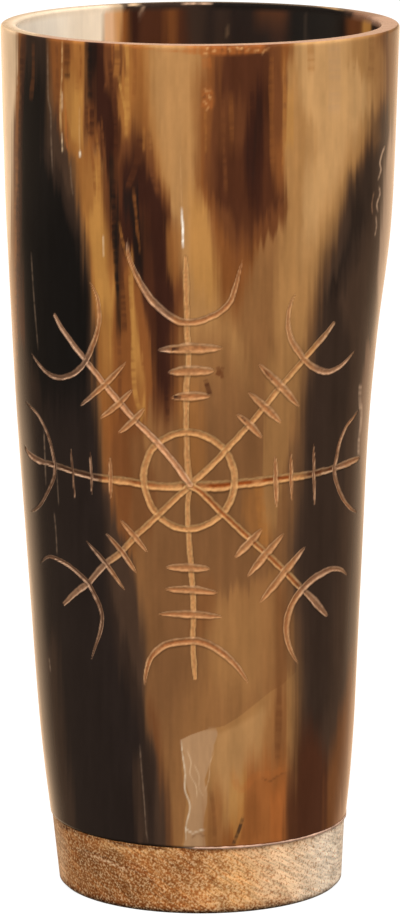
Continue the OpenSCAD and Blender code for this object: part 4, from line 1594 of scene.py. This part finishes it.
def make_glue(material):
    """The glue: a film on the shoulder, squeezed out unevenly, and a sleeve round the plug."""
    bearings = turned_bearings(GLUE_CELL)
    squeezed = past(bearings, SQUEEZE_START) * short_of(bearings, SQUEEZE_END)
    ragged = layered(bearings, np.zeros_like(bearings), GLUE_RAGS)
    spread = SQUEEZE_OUT * squeezed - DRAWN_BACK * (1 - squeezed) + RAGGED_EDGE * ragged
    edge = SHOULDER_DIAMETER / 2 + spread
    swell = SQUEEZE_SWELL * squeezed * (1 + RAGGED_SHARE * ragged)
    profile = (
        (PLUG_RADIUS, BASE_HEIGHT), (edge, BASE_HEIGHT), (edge, HORN_BOTTOM + swell),
        (BORE_RADIUS, HORN_BOTTOM), (BORE_RADIUS, PLUG_TOP),
        (PLUG_RADIUS - PLUG_BEVEL, PLUG_TOP), (PLUG_RADIUS, PLUG_TOP - PLUG_BEVEL),
    )
    rings = []
    for radius, height in profile:
        ring = turned_points(bearings, radius, float(np.mean(height)))
        ring[:, 2] += height - np.mean(height)
        rings.append(ring)
    # Pale where the glue is squeezed out; where it is drawn back it is painted dark, as painted shade in
    # the gap under the horn
    pale = paint("blush") * (1 + RAGGED_TONE_SHARE * ragged[:, None])
    colours = np.tile(mixed(paint("pitch"), pale, squeezed), (len(profile), 1))
    faces = ring_faces(len(profile), len(bearings), True)
    return mesh_object("glue_seam", np.vstack(rings), faces, material, colours)


def resin_material():
    """Amber resin, poured and clear on its face."""
    material, tree = new_material("poured_resin")
    clouds = ranged(tree, noise(tree, CLOUDS), CLOUD_BLEND)
    shaded(tree, node(tree, "ShaderNodeBsdfPrincipled", (
        ("Base Color", blended(tree, clouds, solid("brown"), solid("amber"))),
        ("Roughness", RESIN_ROUGHNESS),
        ("IOR", CLEAR_IOR),
    )))
    return material


def make_resin(material):
    """The resin over the plug, climbing the horn all round."""
    share = (SEAL_LEVEL - HORN_BOTTOM) / SPRING_HEIGHT
    edge = outer_radius(share, RIM_WIDTH) - wall_at(share)
    climb = [
        (edge - SEAL_FILLET * (1 - math.cos(turn)), SEAL_LEVEL + SEAL_FILLET * (1 - math.sin(turn)))
        for turn in np.linspace(0, math.pi / 2, FILLET_STEPS)
    ]
    points, faces = capped_turning((
        (edge * HUB_SHARE, PLUG_TOP), (edge, PLUG_TOP), *climb, (edge * HUB_SHARE, SEAL_LEVEL),
    ), RESIN_CELL, ((0, 0, PLUG_TOP), (0, 0, SEAL_LEVEL)))
    points[:, 0] -= BOW * smooth_at(BOW_SHARES, share)
    return mesh_object("resin_pool", points, faces, material)


def make_floor():
    """A plain pale floor that reads as white and keeps the cup's shadow."""
    material, tree = new_material("pale_floor")
    glow = node(tree, "ShaderNodeEmission", (("Color", WHITE), ("Strength", FLOOR_GLOW)))
    matt = node(tree, "ShaderNodeBsdfDiffuse", (("Color", (FLOOR_TONE, FLOOR_TONE, FLOOR_TONE, 1)),))
    lit = node(tree, "ShaderNodeAddShader", ((0, glow.outputs[0]), (1, matt.outputs[0])))
    seen = node(tree, "ShaderNodeLightPath").outputs["Is Camera Ray"]
    blend = node(tree, "ShaderNodeMixShader", ((0, seen), (1, matt.outputs[0]), (2, lit.outputs[0])))
    shaded(tree, blend)
    corners = [(FLOOR_REACH * x, FLOOR_REACH * y, 0) for x, y in ((-1, -1), (1, -1), (1, 1), (-1, 1))]
    floor = mesh_object("floor", corners, [(0, 1, 2, 3)], material)
    floor.visible_glossy = False


def make_world():
    """A level white surrounding, which mirrors darker from the camera's side."""
    world = bpy.data.worlds.new("white_room")
    bpy.context.scene.world = world
    tree = emptied(world)
    rays = node(tree, "ShaderNodeLightPath").outputs
    glossy = rays["Is Glossy Ray"]
    place = node(tree, "ShaderNodeTexCoord").outputs["Generated"]
    way = node(tree, "ShaderNodeSeparateXYZ", (("Vector", place),)).outputs
    behind = ranged(tree, way["Y"], MIRROR_BEHIND)
    level = worked(tree, "MULTIPLY", behind, ranged(tree, way["Z"], MIRROR_LOW))
    mirrored = worked(tree, "MULTIPLY", level, ranged(tree, way["X"], MIRROR_ACROSS))
    matt = ranged(tree, way["Z"], MATT_LIGHT)
    unseen = node(tree, "ShaderNodeMix", (("Factor", glossy), ("A", matt), ("B", mirrored))).outputs[0]
    strength = node(tree, "ShaderNodeMix", (
        ("Factor", rays["Is Camera Ray"]), ("A", unseen), ("B", 1.0),
    )).outputs[0]
    colour = blended(tree, glossy, WHITE, GLOSS_TINGE)
    sky = node(tree, "ShaderNodeBackground", (("Color", colour), ("Strength", strength)))
    node(tree, "ShaderNodeOutputWorld", (("Surface", sky.outputs[0]),))


def aimed(name, data, place, aim):
    """An object at a place, aimed at another, both in millimetres."""
    made = bpy.data.objects.new(name, data)
    made.location = Vector(place) * METRES
    made.rotation_euler = (Vector(aim) - Vector(place)).to_track_quat("-Z", "Y").to_euler()
    bpy.context.scene.collection.objects.link(made)
    return made


def make_lamp(name, side, power):
    """A soft square lamp at one side of the camera."""
    lamp = bpy.data.lights.new(name, "AREA")
    lamp.size = LAMP_SIZE * METRES
    lamp.energy = power
    aimed(name, lamp, (side, -LAMP_FRONT, LAMP_HEIGHT), LAMP_AIM).visible_glossy = False


def make_camera():
    """The camera of the photograph."""
    camera = bpy.data.cameras.new("camera")
    camera.sensor_fit = "VERTICAL"
    camera.sensor_height = SENSOR
    camera.lens = FOCAL_PIXELS / PHOTO_HIGH * SENSOR
    camera.clip_start = CLIP_NEAR * METRES
    camera.clip_end = CLIP_FAR * METRES
    bpy.context.scene.camera = aimed("camera", camera, CAMERA_AT, CAMERA_AIM)


def dress(piece, cad_node):
    """Puts a piece in place of its CAD node, on the one body."""
    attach(piece, "root")
    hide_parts(cad_node)


bpy.context.scene.view_settings.view_transform = "Standard"
make_camera()
make_world()
make_floor()
make_lamp("right_lamp", LAMP_SIDE, RIGHT_POWER)
make_lamp("left_lamp", -LAMP_SIDE, LEFT_POWER)

horn = make_horn(horn_material())
dress(horn, "horn_wall")
dress(make_wood(wood_material()), "wood_base")
dress(make_glue(glue_material()), "glue_line")
dress(make_resin(resin_material()), "resin_seal")
